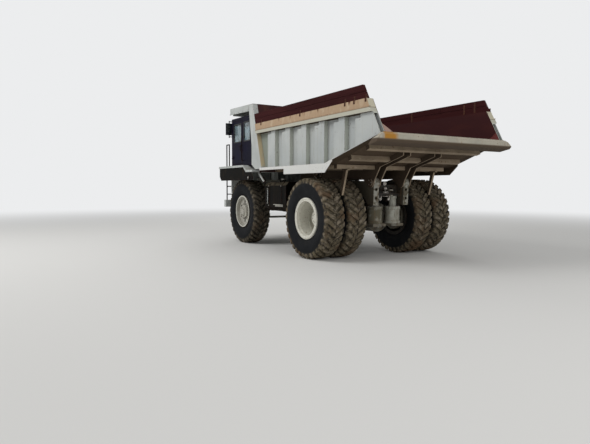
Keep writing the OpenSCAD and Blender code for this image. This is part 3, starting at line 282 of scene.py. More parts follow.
class Coats:
    """A finish built up as on the real part: a ground, then coats of paint, rust, dust or oil laid through masks."""

    def __init__(self, name, color, rough, metal=0.0):
        self.material = bpy.data.materials.new(name)
        self.tree = empty_tree(self.material)
        where = add_node(self.tree, "TexCoord")
        self.place, self.facing = where.outputs["Object"], where.outputs["Normal"]
        self.color, self.rough, self.metal = self.shade(color), rough, metal
        self.height = None

    def shade(self, color):
        """A colour for a shader, from a hex colour or from one of the sidebar's, which are linear already."""
        return linear(color) if isinstance(color, str) else tuple(color)

    def patches(self, size, low, high, stretch=(1, 1, 1), detail=4.0, shift=0.0):
        """A cloudy mask with patches of about this size in metres, longer along an axis whose stretch is small."""
        spot = add_node(self.tree, "Mapping", None, {"Vector": self.place, "Location": (shift, shift, shift),
                                                     "Scale": tuple(s / size for s in stretch)})
        cloud = add_node(self.tree, "TexNoise", None, {"Vector": spot.outputs[0], "Scale": 1.0, "Detail": detail})
        return add_node(self.tree, "MapRange", {"interpolation_type": "SMOOTHSTEP"},
                        {"Value": cloud.outputs["Fac"], "From Min": low, "From Max": high}).outputs[0]

    def along(self, axis, low, high, source=None):
        """A mask that rises from 0 to 1 as the place on an axis goes from low to high; low may be the larger."""
        parts = add_node(self.tree, "SeparateXYZ", None, {0: source or self.place})
        start, end, ends = (low, high, (0.0, 1.0)) if low < high else (high, low, (1.0, 0.0))
        return add_node(self.tree, "MapRange", None, {"Value": parts.outputs[axis], "From Min": start, "From Max": end,
                                                      "To Min": ends[0], "To Max": ends[1]}).outputs[0]

    def aside(self, low, high):
        """The same for the distance from the truck's middle, so that both of its sides read alike."""
        off = add_node(self.tree, "VectorMath", {"operation": "ABSOLUTE"}, {0: self.place})
        return self.along(Y, low, high, off.outputs[0])

    def faces(self, axis, low, high):
        """The same for how far the surface faces along an axis, from -1 to 1."""
        return self.along(axis, low, high, self.facing)

    def band(self, axis, low, high, soft=0.004):
        """A mask between two places on an axis, with soft edges."""
        return self.both(self.along(axis, low - soft, low + soft), self.along(axis, high + soft, high - soft))

    def beyond(self, x, z, low, high):
        """A mask that rises as the distance from a wheel's axle at x and z goes from low to high."""
        off = add_node(self.tree, "VectorMath", {"operation": "SUBTRACT"}, {0: self.place, 1: (x, 0, z)})
        flat = add_node(self.tree, "VectorMath", {"operation": "MULTIPLY"}, {0: off.outputs[0], 1: (1, 0, 1)})
        far = add_node(self.tree, "VectorMath", {"operation": "LENGTH"}, {0: flat.outputs[0]})
        return add_node(self.tree, "MapRange", None, {
            "Value": far.outputs["Value"], "From Min": low, "From Max": high}).outputs[0]

    def inward(self):
        """A mask of what faces the truck's middle, on either side of it."""
        parts = [add_node(self.tree, "SeparateXYZ", None, {0: source}) for source in (self.place, self.facing)]
        far = add_node(self.tree, "Math", {"operation": "MULTIPLY"}, {0: parts[0].outputs[Y], 1: parts[1].outputs[Y]})
        return add_node(self.tree, "MapRange", None, {
            "Value": far.outputs[0], "From Min": -1.2, "From Max": -0.8, "To Min": 1.0, "To Max": 0.0}).outputs[0]

    def under(self):
        """A mask of what faces down."""
        return self.faces(Z, -0.35, -0.7)

    def top(self, low=0.3, high=0.9):
        """A mask of what faces up, where dust settles."""
        return self.faces(Z, low, high)

    def worn(self, width):
        """A mask of outer edges: how far the rounded normal leaves the flat one."""
        soft = add_node(self.tree, "Bevel", {"samples": 4}, {"Radius": width})
        flat = add_node(self.tree, "NewGeometry")
        near = add_node(self.tree, "VectorMath", {"operation": "DOT_PRODUCT"},
                        {0: soft.outputs[0], 1: flat.outputs["Normal"]})
        return add_node(self.tree, "MapRange", None, {"Value": near.outputs["Value"], "From Min": 0.86,
                                                      "From Max": 0.985, "To Min": 1.0, "To Max": 0.0}).outputs[0]

    def both(self, *masks):
        """The product of masks."""
        result = masks[0]
        for mask in masks[1:]:
            result = add_node(self.tree, "Math", {"operation": "MULTIPLY"}, {0: result, 1: mask}).outputs[0]
        return result

    def lay(self, color, rough, *masks, metal=None):
        """Lays a coat over what is there, where all the masks are set."""
        mask, over = self.both(*masks), self.shade(color)
        self.color = add_node(self.tree, "Mix", {"data_type": "RGBA"}, {0: mask, 6: self.color, 7: over}).outputs[2]
        self.rough = add_node(self.tree, "Mix", None, {0: mask, 2: self.rough, 3: rough}).outputs[0]
        if metal is not None:
            self.metal = add_node(self.tree, "Mix", None, {0: mask, 2: self.metal, 3: metal}).outputs[0]
        return self

    def stain(self, color, rough, *patch, metal=None, **more):
        """Lays a coat in patches, whose size and other values follow its colour and roughness."""
        return self.lay(color, rough, self.patches(*patch, **more), metal=metal)

    def relief(self, depth, mask):
        """Raises the surface by depth metres where the mask is set; a negative depth cuts in."""
        links = {"Height": mask, "Distance": abs(depth), "Strength": 1.0}
        if self.height is not None:
            links["Normal"] = self.height
        self.height = add_node(self.tree, "Bump", {"invert": depth < 0}, links).outputs[0]
        return self

    def grain(self, depth, *patch, **more):
        """Raises the surface in patches."""
        return self.relief(depth, self.patches(*patch, **more))

    def weather(self, runs=0.5, chips=0.5, dust=0.5, mud=0.5):
        """Lays the marks of years outdoors on a painted finish: rust runs, chips to rusty steel, dust and mud."""
        soil = bpy.context.scene.truck_soil
        fine = self.patches(0.006, 0.3, 0.7, detail=2)
        self.lay(soil.run_color, 0.75, self.patches(0.05, 0.56, 0.78, (1, 1, 0.045), 5),
                 self.patches(0.6, 0.40, 0.62, shift=7), self.patches(0.02, 0.2, 0.5, (1, 1, 0.2)), runs)
        self.lay(soil.rust_color, 0.85, self.worn(0.012), self.patches(0.035, 0.40, 0.58, detail=6, shift=3),
                 min(1.0, chips * 1.6))
        spots = self.both(self.patches(0.045, 0.66, 0.70, detail=8, shift=5), self.patches(0.5, 0.45, 0.6, shift=2))
        self.lay(soil.rust_color, 0.9, spots, min(1.0, chips * 1.5)).relief(-0.0008, spots)
        self.lay(soil.dust_color, 0.9, self.top(0.35, 0.95), self.patches(0.12, 0.25, 0.6, shift=9), dust)
        if mud:
            self.lay(soil.mud_color, 0.95, self.along(Z, 1.35, 0.35),
                     self.patches(0.09, 0.38, 0.6, detail=6, shift=11), mud)
        return self.relief(0.00015, fine)

    def done(self, specular=0.5, **sockets):
        """Joins the coats to the shader; sockets are its other inputs, such as Transmission_Weight."""
        links = {"Base Color": self.color, "Roughness": self.rough, "Metallic": self.metal,
                 "Specular IOR Level": specular, **{key.replace("_", " "): value for key, value in sockets.items()}}
        if self.height is not None:
            links["Normal"] = self.height
        shader = add_node(self.tree, "BsdfPrincipled", None, links)
        add_node(self.tree, "OutputMaterial", None, {"Surface": shader.outputs[0]})
        return self.material


def body_enamel():
    """Alkyd enamel brushed on sheet steel, faded chalky by the sun: dull, with soft grey clouds and rust runs."""
    coats = Coats("faded_alkyd_enamel", bpy.context.scene.truck_paint.body_color, 0.5)
    coats.stain("#A7ABA8", 0.58, 0.9, 0.35, 0.65).stain("#A3A399", 0.62, 0.08, 0.5, 0.8, (1, 1, 0.15))
    coats.weather(runs=0.4, chips=0.4, dust=0.4, mud=0.2)
    rear_face = coats.both(coats.band(X, HEAD_X, HEAD_X + 0.8), coats.faces(X, -0.6, -0.8))
    # Rust has run down the headboard's rear edges, from where the boards and the rail meet it
    coats.lay("#CDBB98", 0.75, rear_face, coats.aside(WALL_Y - 0.02, WALL_Y - 0.01), coats.band(Z, 2.2, 3.12, 0.02),
              coats.patches(0.15, 0.1, 0.4, (1, 1, 0.1), shift=6))
    # Inside the bed the loads have scoured the headboard down to red-brown steel
    inside = coats.both(rear_face, coats.aside(WALL_Y - 0.015, WALL_Y - 0.025))
    coats.lay("#391A1B", 0.85, inside)
    coats.lay("#4A2A22", 0.85, inside, coats.patches(0.3, 0.45, 0.75, (1, 1, 0.3), shift=31))
    return coats.done(0.25)


def bed_enamel():
    """The same enamel on the bed's sides, worn to red-brown steel inside, with a peach, rusting top rail."""
    coats = Coats("bed_side_enamel", bpy.context.scene.truck_paint.body_color, 0.5)
    coats.stain("#ABAFAE", 0.58, 0.9, 0.35, 0.65).stain("#A6A8A0", 0.62, 0.07, 0.5, 0.85, (1, 1, 0.12))
    # The foremost slot's recess is laid darker: dirt, and painted shade
    coats.lay("#858A80", 0.7, coats.aside(WALL_Y + 0.06, WALL_Y + 0.02), coats.along(X, HEAD_X, HEAD_X + 0.06))
    # The slots' sides that face the tail get a grey-green tone: painted shading, for how the light falls on them
    coats.lay("#B9BDB3", 0.65, coats.faces(X, -0.4, -0.8), coats.along(Z, RAIL_FOOT + 0.06, RAIL_FOOT + 0.01))
    # The ledge along the foot is whiter: a painted highlight, as it faces out and up to the sky; it has rust specks at
    # its dents
    ledge = coats.both(coats.aside(1.855, 1.862), coats.along(Z, 2.35, 2.2))
    coats.lay("#D2D2CE", 0.45, ledge)
    coats.lay("#4A3A30", 0.85, coats.both(ledge, coats.patches(0.018, 0.66, 0.70, (0.6, 1, 1), 3, 17),
                                          coats.patches(0.5, 0.5, 0.58, shift=12)))
    # The rail's lip is yellowed, and above it the white coat is gone: primer shows, with dark runs from the boards
    coats.lay("#B5B3A4", 0.65, coats.along(Z, RAIL_FOOT - 0.01, RAIL_FOOT + 0.01))
    rail = coats.along(Z, LIP_TOP - 0.004, LIP_TOP + 0.004)
    coats.lay("#AC9378", 0.7, rail)
    coats.lay("#BDAB92", 0.7, rail, coats.patches(0.22, 0.5, 0.75, (1, 1, 0.6), shift=4))
    coats.lay("#95705A", 0.85, rail, coats.patches(0.035, 0.60, 0.78, (1, 1, 0.12), shift=21))
    coats.lay("#BFB9A4", 0.7, rail, coats.faces(X, -0.3, -0.6))
    coats.lay("#5A3526", 0.9, coats.along(Z, 3.27, 3.35), coats.patches(0.05, 0.56, 0.70, (1, 1, 0.1), shift=27))
    coats.lay("#6A5C4E", 0.9, coats.band(Z, LIP_TOP, LIP_TOP + 0.01))
    coats.weather(runs=0.3, chips=0.45, dust=0.2, mud=0.0)
    inside = coats.aside(WALL_Y - 0.008, WALL_Y - 0.014)
    coats.lay("#391A1B", 0.8, inside)
    coats.lay("#42201E", 0.85, inside, coats.patches(0.3, 0.45, 0.75, (0.3, 1, 1), shift=31))
    coats.lay("#5A3A32", 0.7, inside, coats.patches(0.02, 0.68, 0.80, (0.1, 1, 1), shift=33))
    # Faces that look down, and the ledge's inner faces low down, are laid dark brown: painted shade, with dirt
    coats.lay("#463A2E", 0.9, coats.under())
    coats.lay("#463A2E", 0.9, coats.inward(), coats.along(Z, 2.3, 2.2))
    return coats.done(0.12)


def plate_steel():
    """Hot-rolled plate in the bed's floor: red-brown rust, scoured along its length by the loads."""
    coats = Coats("rusted_plate_steel", "#3A2018", 0.85)
    coats.stain("#2E1716", 0.85, 0.35, 0.35, 0.65).stain("#5E4034", 0.6, 0.03, 0.6, 0.8, (0.06, 1, 1), 6, metal=0.3)
    coats.stain("#66503F", 0.9, 0.4, 0.55, 0.8, shift=3)
    # The gussets in the tail's corners: the right one is scraped red; the left one is lighter, pinkish primer with
    # painted sunlight on it
    tail = coats.both(coats.along(X, REAR_X - 1.85, REAR_X - 1.95), coats.top(0.1, 0.3))
    spread = coats.patches(0.12, 0.15, 0.5, detail=5, shift=8)
    coats.lay("#5E2D2B", 0.85, tail, coats.along(Y, -1.39, -1.41), spread)
    coats.lay("#A3897D", 0.8, tail, coats.along(Y, 1.39, 1.41), spread)
    # Faces that look down are laid dark brown: painted shade, with dirt
    return coats.lay("#54473A", 0.9, coats.under()).grain(0.001, 0.02, 0.3, 0.7, detail=6).done(0.1)


def underside_paint():
    """Thin grey-brown paint under the bed, caked with dried mud and stained by rust."""
    coats = Coats("muddy_underside_paint", "#A08F79", 0.75).stain("#8A7B68", 0.8, 0.5, 0.35, 0.65)
    coats.stain("#6B5440", 0.9, 0.06, 0.6, 0.78, detail=6).stain("#AA9A86", 0.95, 0.12, 0.6, 0.75, detail=7, shift=5)
    coats.lay("#44382C", 0.9, coats.faces(Y, 0.6, 1.0)).lay("#44382C", 0.9, coats.faces(Y, -0.6, -1.0))
    return coats.grain(0.002, 0.03, 0.4, 0.7, detail=7, shift=5).done(0.25)


def frame_enamel():
    """Grey enamel on welded plate, caked with black oil and painted near-black for shade between the rails, and dusty
    on top.
    """
    coats = Coats("oily_frame_enamel", "#9C9B90", 0.55)
    coats.stain("#85837A", 0.6, 0.25, 0.4, 0.7).stain("#3A352C", 0.4, 0.18, 0.6, 0.76, detail=5, shift=8)
    # The wheels have thrown dirt on the hinge posts; the rails' sides are laid dark: dirt, and painted shade between
    # the wheels
    coats.lay("#5E5848", 0.8, coats.along(X, REAR_X - 0.5, REAR_X - 0.55),
              coats.patches(0.09, 0.46, 0.6, detail=5, shift=23))
    for side in (1, -1):
        coats.lay("#4C473B", 0.8, coats.faces(Y, 0.6 * side, 0.9 * side))
    # Between the rails the frame is laid near-black: black oil, and painted shade
    middle = coats.both(coats.aside(0.385, 0.37), coats.along(X, REAR_X - 0.8, REAR_X - 0.74))
    coats.lay("#1E1A15", 0.5, middle)
    coats.lay("#3B342A", 0.85, middle, coats.patches(0.1, 0.45, 0.7, detail=5, shift=13))
    return coats.weather(mud=0.6).done(0.35)


def axle_enamel():
    """Grey enamel on the axle's castings, greasy at the seals and dusty where it is dry."""
    coats = Coats("greasy_axle_enamel", "#6E6C62", 0.55).stain("#4E4B42", 0.5, 0.2, 0.45, 0.7)
    coats.stain("#26221B", 0.35, 0.12, 0.56, 0.72, detail=5, shift=8)
    return coats.weather(runs=0.3, chips=0.4, dust=0.6, mud=0.7).done(0.35)


def strut_enamel():
    """Pale enamel on the struts' cylinders, with oil weeping down from the glands."""
    coats = Coats("strut_enamel", "#A9A99E", 0.45).stain("#918F83", 0.55, 0.15, 0.4, 0.7)
    coats.lay("#57503F", 0.4, coats.patches(0.05, 0.52, 0.7, (1, 1, 0.12), shift=6), 0.7)
    # The left strut's foot is laid darker: dirt, and painted shade where it stands in shadow
    coats.lay("#5C5848", 0.85, coats.along(Y, 0.0, 0.02), coats.along(Z, 1.26, 1.16),
              coats.patches(0.12, 0.2, 0.5, detail=5, shift=19))
    return coats.weather(runs=0.4).done(0.4)


def white_enamel():
    """White enamel brushed on small castings, with oil round their joints."""
    coats = Coats("white_casting_enamel", "#DAD4CC", 0.5).stain("#958C80", 0.6, 0.04, 0.5, 0.7, detail=5, shift=25)
    return coats.weather(runs=0.3, chips=0.4, dust=0.4, mud=0.2).done(0.3)


def dark_enamel():
    """Near-black enamel on the skirts and tanks, dulled by dust, with a pale boarding step."""
    coats = Coats("dusty_black_enamel", "#0F0E0D", 0.6).stain("#171613", 0.7, 0.4, 0.35, 0.7)
    coats.lay("#B9B8B0", 0.6, coats.along(Y, 1.5582, 1.5586), coats.along(Z, 1.26, 1.24))
    return coats.weather(runs=0.2, chips=0.25, dust=0.35, mud=0.2).done(0.04)


def cab_enamel():
    """Dark navy enamel on the cab, still half glossy."""
    coats = Coats("navy_cab_enamel", "#12111F", 0.5).stain("#171729", 0.55, 0.5, 0.4, 0.7)
    return coats.weather(runs=0.15, chips=0.25, dust=0.3, mud=0.0).done(0.04)


def wheel_enamel(name="rim_enamel", axle=None):
    """Pale enamel on pressed steel rims, with rust at the bolts and painted shade deep in the dish."""
    coats = Coats(name, "#D6D4C8", 0.48).stain("#CBC9BD", 0.6, 0.16, 0.45, 0.7)
    pits = coats.patches(0.05, 0.62, 0.75, detail=6, shift=4)
    coats.lay("#8A6A4E", 0.85, pits).stain("#97927F", 0.8, 0.02, 0.58, 0.75, shift=14)
    # The front rims get a darker grey over their enamel: painted shade from the bed; their outer flanges are black with
    # road dirt
    if axle is not None:
        coats.stain("#A3A096", 0.7, 0.4, 0.2, 0.6).lay("#38352E", 0.9, coats.beyond(axle, AXLE_Z, 0.405, 0.42))
    # What the discs hide from outside is laid near-black: painted shade
    coats.lay("#2A2621", 0.7, coats.aside(1.292, 1.288), coats.aside(0.5, 0.52))
    coats.lay("#5A3A28", 0.85, coats.worn(0.008), coats.patches(0.03, 0.45, 0.6, shift=3))
    return coats.relief(-0.0006, pits).done(0.35)


def front_rim_enamel():
    """The rims' enamel on the front wheels, painted darker for the shade of the bed above them, whose outer flanges are
    black with road dirt.
    """
    return wheel_enamel("front_rim_enamel", FRONT_X)


def tyre_rubber():
    """Vulcanised rubber, gone grey-blue on the walls, with dry earth on the tread."""
    coats = Coats("weathered_tyre_rubber", "#1A1B1D", 0.7).stain("#232426", 0.75, 0.3, 0.35, 0.7)
    tread = add_node(coats.tree, "Attribute", {"attribute_name": "tread"}).outputs["Fac"]
    coats.lay(bpy.context.scene.truck_soil.tread_color, 0.95, tread,
              coats.patches(0.06, 0.25, 0.6, detail=5, shift=2))
    coats.lay("#83796A", 0.95, tread, coats.patches(0.11, 0.48, 0.68, detail=7, shift=6))
    coats.lay("#62503F", 0.95, tread, coats.patches(0.4, 0.5, 0.72, detail=3, shift=16))
    coats.lay("#4A443A", 0.9, coats.top(0.2, 0.9), coats.patches(0.1, 0.35, 0.65, shift=5), 0.5)
    return coats.grain(0.0008, 0.012, 0.35, 0.7, detail=5).done(0.06)


def chromed_rod():
    """Hard-chromed hoist rod, wiped bright by its seal, with a film of oily dust."""
    coats = Coats("hard_chrome_rod", "#C8C8C6", 0.12, 1.0)
    return coats.stain("#7A7468", 0.45, 0.08, 0.5, 0.75, (1, 1, 0.3), metal=0.3).done()


def oily_cast_iron():
    """Sand-cast iron under old grey paint and oil."""
    coats = Coats("oily_cast_iron", "#4A4C46", 0.5).stain("#23211C", 0.3, 0.15, 0.45, 0.65)
    coats.lay("#6E6250", 0.95, coats.top(), coats.patches(0.1, 0.3, 0.6, shift=3))
    return coats.grain(0.0005, 0.004, 0.3, 0.7, detail=6).done()


def cab_vinyl():
    """Black moulded vinyl of the seat and dash, scuffed pale."""
    coats = Coats("moulded_black_vinyl", "#1B1B1D", 0.5).stain("#3A3833", 0.65, 0.12, 0.5, 0.75)
    return coats.grain(0.0003, 0.003, 0.4, 0.6, detail=2).done()


def plank_wood():
    """Softwood planks soaked in red-brown oil paint, their grain running along the truck."""
    coats = Coats("red_brown_planks", "#371819", 0.8).stain("#2D1314", 0.85, 0.6, 0.4, 0.7, (0.2, 1, 1))
    grain = coats.patches(0.012, 0.45, 0.75, (0.025, 1, 1), 5)
    coats.lay("#4A2724", 0.85, grain, 0.5).stain("#5E4238", 0.9, 0.1, 0.7, 0.85, (0.2, 1, 1), 6, 12)
    return coats.relief(-0.0008, grain).done(0.05)


def rusty_strap():
    """Flat steel straps and their bolts, rusted through their paint to a dark red-brown."""
    coats = Coats("rusted_strap_steel", "#43281F", 0.85).stain("#5C3726", 0.9, 0.03, 0.45, 0.7, detail=6)
    return coats.grain(0.0006, 0.01, 0.3, 0.7, detail=6).done(0.2)


def lip_enamel():
    """Grey-cream paint on the bed's tail lip, with one large orange rust bloom, and a foot and underside laid dark:
    painted shade, with dirt.
    """
    coats = Coats("tail_lip_enamel", "#ABA596", 0.6).stain("#A09C8F", 0.65, 0.5, 0.35, 0.65)
    coats.lay("#8A6B4E", 0.8, coats.patches(0.03, 0.55, 0.75, (1, 1, 0.15), 5), coats.patches(0.4, 0.45, 0.6, shift=2))
    coats.lay("#A8762C", 0.85, coats.along(Y, 1.36, 1.46), coats.along(Y, 1.74, 1.70),
              coats.patches(0.2, 0.1, 0.4, (1, 1, 0.4), 6))
    coats.weather(runs=0.3, chips=0.5, dust=0.3, mud=0.0)
    # Its foot and the faces that look down are laid dark: painted shade, with dirt
    return coats.lay("#574A3D", 0.9, coats.along(Z, 2.575, 2.55)).lay("#54473A", 0.9, coats.under()).done(0.3)


def safety_glass():
    """Laminated glass, IOR 1.52, hazed by dust."""
    coats = Coats("dusty_safety_glass", "#B4C6CC", 0.04).stain("#8E9A9A", 0.25, 0.15, 0.35, 0.8, shift=2)
    return coats.done(IOR=1.52, Transmission_Weight=0.85)


def lamp_glass():
    """Pressed lamp lens, clear glass."""
    coats = Coats("pressed_lamp_glass", "#F2F4F2", 0.06).grain(0.001, 0.012, 0.3, 0.7, (1, 1, 0.1))
    return coats.done(IOR=1.5, Transmission_Weight=0.6)


def mirror_glass():
    """Mirror glass hazed by dust: its reflection is painted in as a dark colour, as what it mirrors is dark."""
    coats = Coats("dusty_mirror_glass", "#1B1F24", 0.12).stain("#3A3C3B", 0.4, 0.12, 0.4, 0.75, shift=2)
    return coats.done(IOR=1.52)


def zinc_steel():
    """Zinc-plated bolts and pins, gone dull with a little rust."""
    coats = Coats("dull_zinc_steel", "#8E8D86", 0.42, 0.8)
    return coats.stain("#6A452E", 0.85, 0.02, 0.5, 0.68, detail=5, metal=0.0).done()


def black_seal():
    """Extruded black rubber seal round panes."""
    return Coats("window_seal_rubber", "#141414", 0.6).stain("#3A372F", 0.85, 0.06, 0.45, 0.7).done()


FINISHES = {
    "body_paint": body_enamel, "frame_paint": frame_enamel, "dark_paint": dark_enamel, "cab_paint": cab_enamel,
    "glass": safety_glass, "trim": cab_vinyl, "cast": oily_cast_iron, "wheel_paint": wheel_enamel,
    "rubber_tyre": tyre_rubber, "bed_steel": plate_steel, "under_paint": underside_paint, "boards": plank_wood,
    "chrome_rod": chromed_rod, "bed_side": bed_enamel, "lip": lip_enamel, "zinc": zinc_steel, "seal": black_seal,
    "lamp": lamp_glass, "strap": rusty_strap, "mirror": mirror_glass, "strut": strut_enamel, "axle": axle_enamel,
    "front_rim": front_rim_enamel, "white": white_enamel,
}
# Nodes whose finish differs from that of their slot
OWN_FINISH = {
    "bed_side_left": "bed_side", "bed_side_right": "bed_side", "tail_lip": "lip", "ladder": "dark_paint",
    "rear_struts": "strut", "strut_tubes": "strut", "rear_axle": "axle", "rock_ejectors": "under_paint",
    "rim_front_left": "front_rim", "rim_front_right": "front_rim",
}
MADE = {}


def finish_of(name):
    """The material of that name, made when it is first asked for."""
    if name not in MADE:
        MADE[name] = FINISHES[name]()
    return MADE[name]


# Sizes and colours that a user would change

COLOR = {"subtype": "COLOR", "size": 4, "min": 0, "max": 1}
LENGTH = {"subtype": "DISTANCE", "unit": "LENGTH"}


class TruckPaint(PropertyGroup):
    body_color: FloatVectorProperty(name="Body", description="Enamel of the body and the bed's sides",
                                    default=linear("#B7BAB7"), **COLOR)


class TruckSoil(PropertyGroup):
    run_color: FloatVectorProperty(name="Rust runs", description="Colour of the runs below seams",
                                   default=linear("#8A6A48"), **COLOR)
    rust_color: FloatVectorProperty(name="Rust", description="Colour of bare rusted steel",
                                    default=linear("#5A3322"), **COLOR)
    dust_color: FloatVectorProperty(name="Dust", description="Dust on what faces up",
                                    default=linear("#9A8E78"), **COLOR)
    mud_color: FloatVectorProperty(name="Mud", description="Dried mud near the ground",
                                   default=linear("#6E5F4A"), **COLOR)
    tread_color: FloatVectorProperty(name="Tread earth", description="Dry earth on the treads",
                                     default=linear("#665D4C"), **COLOR)


class TruckTyre(PropertyGroup):
    lugs: IntProperty(name="Lugs", description="Lugs on each half of the tread", default=34, min=20, max=48)
    lug_depth: FloatProperty(name="Lug depth", description="How far the lugs stand out of the tread",
                             default=0.045, min=0.02, max=0.06, **LENGTH)
    lug_width: FloatProperty(name="Lug width", description="Width of a lug round the tyre, at the shoulder",
                             default=0.112, min=0.06, max=0.14, **LENGTH)
    sweep: FloatProperty(name="Sweep", description="How far a lug's inner end leads its shoulder end",
                         default=0.165, min=0.0, max=0.3, **LENGTH)


class TruckTrim(PropertyGroup):
    plank_gap: FloatProperty(name="Plank gap", description="Gap between two planks of the side boards",
                             default=0.005, min=0.0, max=0.02, **LENGTH)
    strap_width: FloatProperty(name="Strap width", description="Width of the straps that hold the planks",
                               default=0.045, min=0.03, max=0.1, **LENGTH)


class TruckStage(PropertyGroup):
    light: FloatProperty(name="Key light", description="Power of the main soft light in watts", default=1500.0,
                         min=0.0, subtype="POWER")
    sky: FloatProperty(name="Sky", description="Strength of the even light from all round", default=0.58, min=0.0)
    backdrop: FloatVectorProperty(name="Backdrop", description="Colour behind the truck",
                                  default=linear("#ECEDEE"), **COLOR)


class TRUCK_OT_finishes(Operator):
    """Gives every CAD node the finish of its material slot"""
    bl_idname = "truck.finishes"
    bl_label = "Finishes"

    def execute(self, context):
        for part in frame["record"]["subparts"]:
            material = finish_of(OWN_FINISH.get(part["node"], part["material_slot"]))
            for place in frame["nodes"][part["node"]].material_slots:
                place.material = material
        return {"FINISHED"}


def tyre_shape(sizes, x, y):
    """A tyre about the axle at (x, y). Carcass: an outline of (radius, width) turned about the axle. Lugs: for
    lug k, step s from the tread's middle out over the shoulder and section point q,
    angle = pitch k + (sweep(s) + offset(s, q)) / R, and (width, radius) = root(s) + h(q) (tip(s) - root(s))."""
    base, half = TYRE_R - sizes.lug_depth, TYRE_W / 2
    # The wall bulges from the bead's foot to the shoulder, with two thin ribs round it
    t = np.linspace(0, 1, 15)
    foot, shoulder = 0.1897, half - 0.018
    rib = 0.004 * (np.exp(-((t - 0.12) / 0.04) ** 2) + np.exp(-((t - 0.62) / 0.03) ** 2))
    bulge = (half - (foot + shoulder) / 2 - 0.003) * np.sin(math.pi * t)
    wall = np.stack([0.478 + (0.868 - 0.478) * t, foot + (shoulder - foot) * t + bulge + rib], -1)
    crown = [[base - 0.008, shoulder - 0.018], [base, shoulder - 0.06], [base + 0.003, 0.08]]
    outer = np.concatenate([[[0.4193, foot - 0.003], [0.474, foot - 0.001]], wall, crown])
    inner = np.array([[0.82, 0.15], [0.80, shoulder - 0.04], [0.50, foot - 0.04], [0.4193, foot - 0.06]])
    outline = np.concatenate([outer, (outer * [1, -1])[::-1], (inner * [1, -1])[::-1], inner])
    steps = 144
    a = circle(steps)[:, None]
    r, w = outline.T
    carcass = np.stack([r * np.cos(a), w + 0 * a, r * np.sin(a)], -1).reshape(-1, 3)
    # The tread mark runs from 0 on the walls to 1 on the lugs' tops, and tells the rubber where earth sticks
    pieces = [(carcass, quads(steps, len(outline), True, True))]
    marks = [np.tile(np.clip((r - 0.80) / 0.08, 0, 1) * 0.8, steps)]
    # A lug's tip as (width, depth below the tyre's radius) and its root as (width, radius), from the middle out
    tip = np.array([[0.014, 0], [0.06, 0], [0.115, 0.0005], [0.165, 0.002], [0.205, 0.006], [0.226, 0.016],
                    [0.238, 0.042], [0.245, 0.085], [0.2465, 0.12]])
    root = np.array([[0.010, 0.875], [0.06, 0.875], [0.115, 0.875], [0.16, 0.872], [0.19, 0.866], [0.205, 0.858],
                     [0.212, 0.848], [0.220, 0.832], [0.225, 0.812]])
    tip[:, 1] = TYRE_R - tip[:, 1]
    # Its section as (share of its half width, share of its height)
    section = np.array([[-1.12, 0], [-1.0, 0.86], [-0.9, 1], [0.9, 1], [1.0, 0.86], [1.12, 0]])
    wide = sizes.lug_width / 2 * np.array([0.78, 0.86, 0.94, 1.0, 1.0, 0.98, 0.9, 0.82, 0.78])
    lead = sizes.sweep * np.clip(1 - tip[:, 0] / 0.215, 0, 1)
    w, r = (root[:, None] + section[None, :, 1:] * (tip - root)[:, None]).transpose(2, 0, 1)
    offset = (section[None, :, 0] * wide[:, None] + lead[:, None]) / TYRE_R
    rows, cols = w.shape
    faces = quads(rows, cols, False, True) + end_caps(rows, cols)
    for side in (1, -1):
        k = (np.arange(sizes.lugs) + (0.0 if side > 0 else 0.5)) * 2 * math.pi / sizes.lugs
        angle = k[:, None, None] + offset[None]
        lugs = np.stack([r * np.cos(angle), side * w + 0 * angle, r * np.sin(angle)], -1).reshape(-1, 3)
        pieces.append((lugs, [[v + i * rows * cols for v in f] for i in range(sizes.lugs) for f in faces]))
        marks.append(np.tile(np.broadcast_to(0.55 + 0.45 * section[:, 1], (rows, cols)).ravel(), sizes.lugs))
    return shifted(joined(*pieces), (x, y, AXLE_Z)), np.concatenate(marks)


class TRUCK_OT_tyres(Operator):
    """Builds the treaded tyres in place of the plain ones"""
    bl_idname = "truck.tyres"
    bl_label = "Tyres"

    def execute(self, context):
        spots = (("tyre_front_", "front_wheel_", FRONT_X, FRONT_Y, "tyre_front_"),
                 ("tyre_inner_", "rear_wheels_", REAR_X, TWIN_IN_Y, "tyres_rear_"),
                 ("tyre_outer_", "rear_wheels_", REAR_X, TWIN_OUT_Y, "tyres_rear_"))
        for side, s in SIDES:
            for name, body, x, y, node in spots:
                shape, marks = tyre_shape(context.scene.truck_tyre, x, s * y)
                # The front tyres get less earth on their treads, so they read darker: painted shade from the bed above
                # them
                marks = marks * (0.45 if x == FRONT_X else 1.0)
                tyre = make(name + side + "_treaded", shape, "rubber_tyre", body + side, smooth=40,
                            marks={"tread": marks})
                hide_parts(node + side)
        return {"FINISHED"}


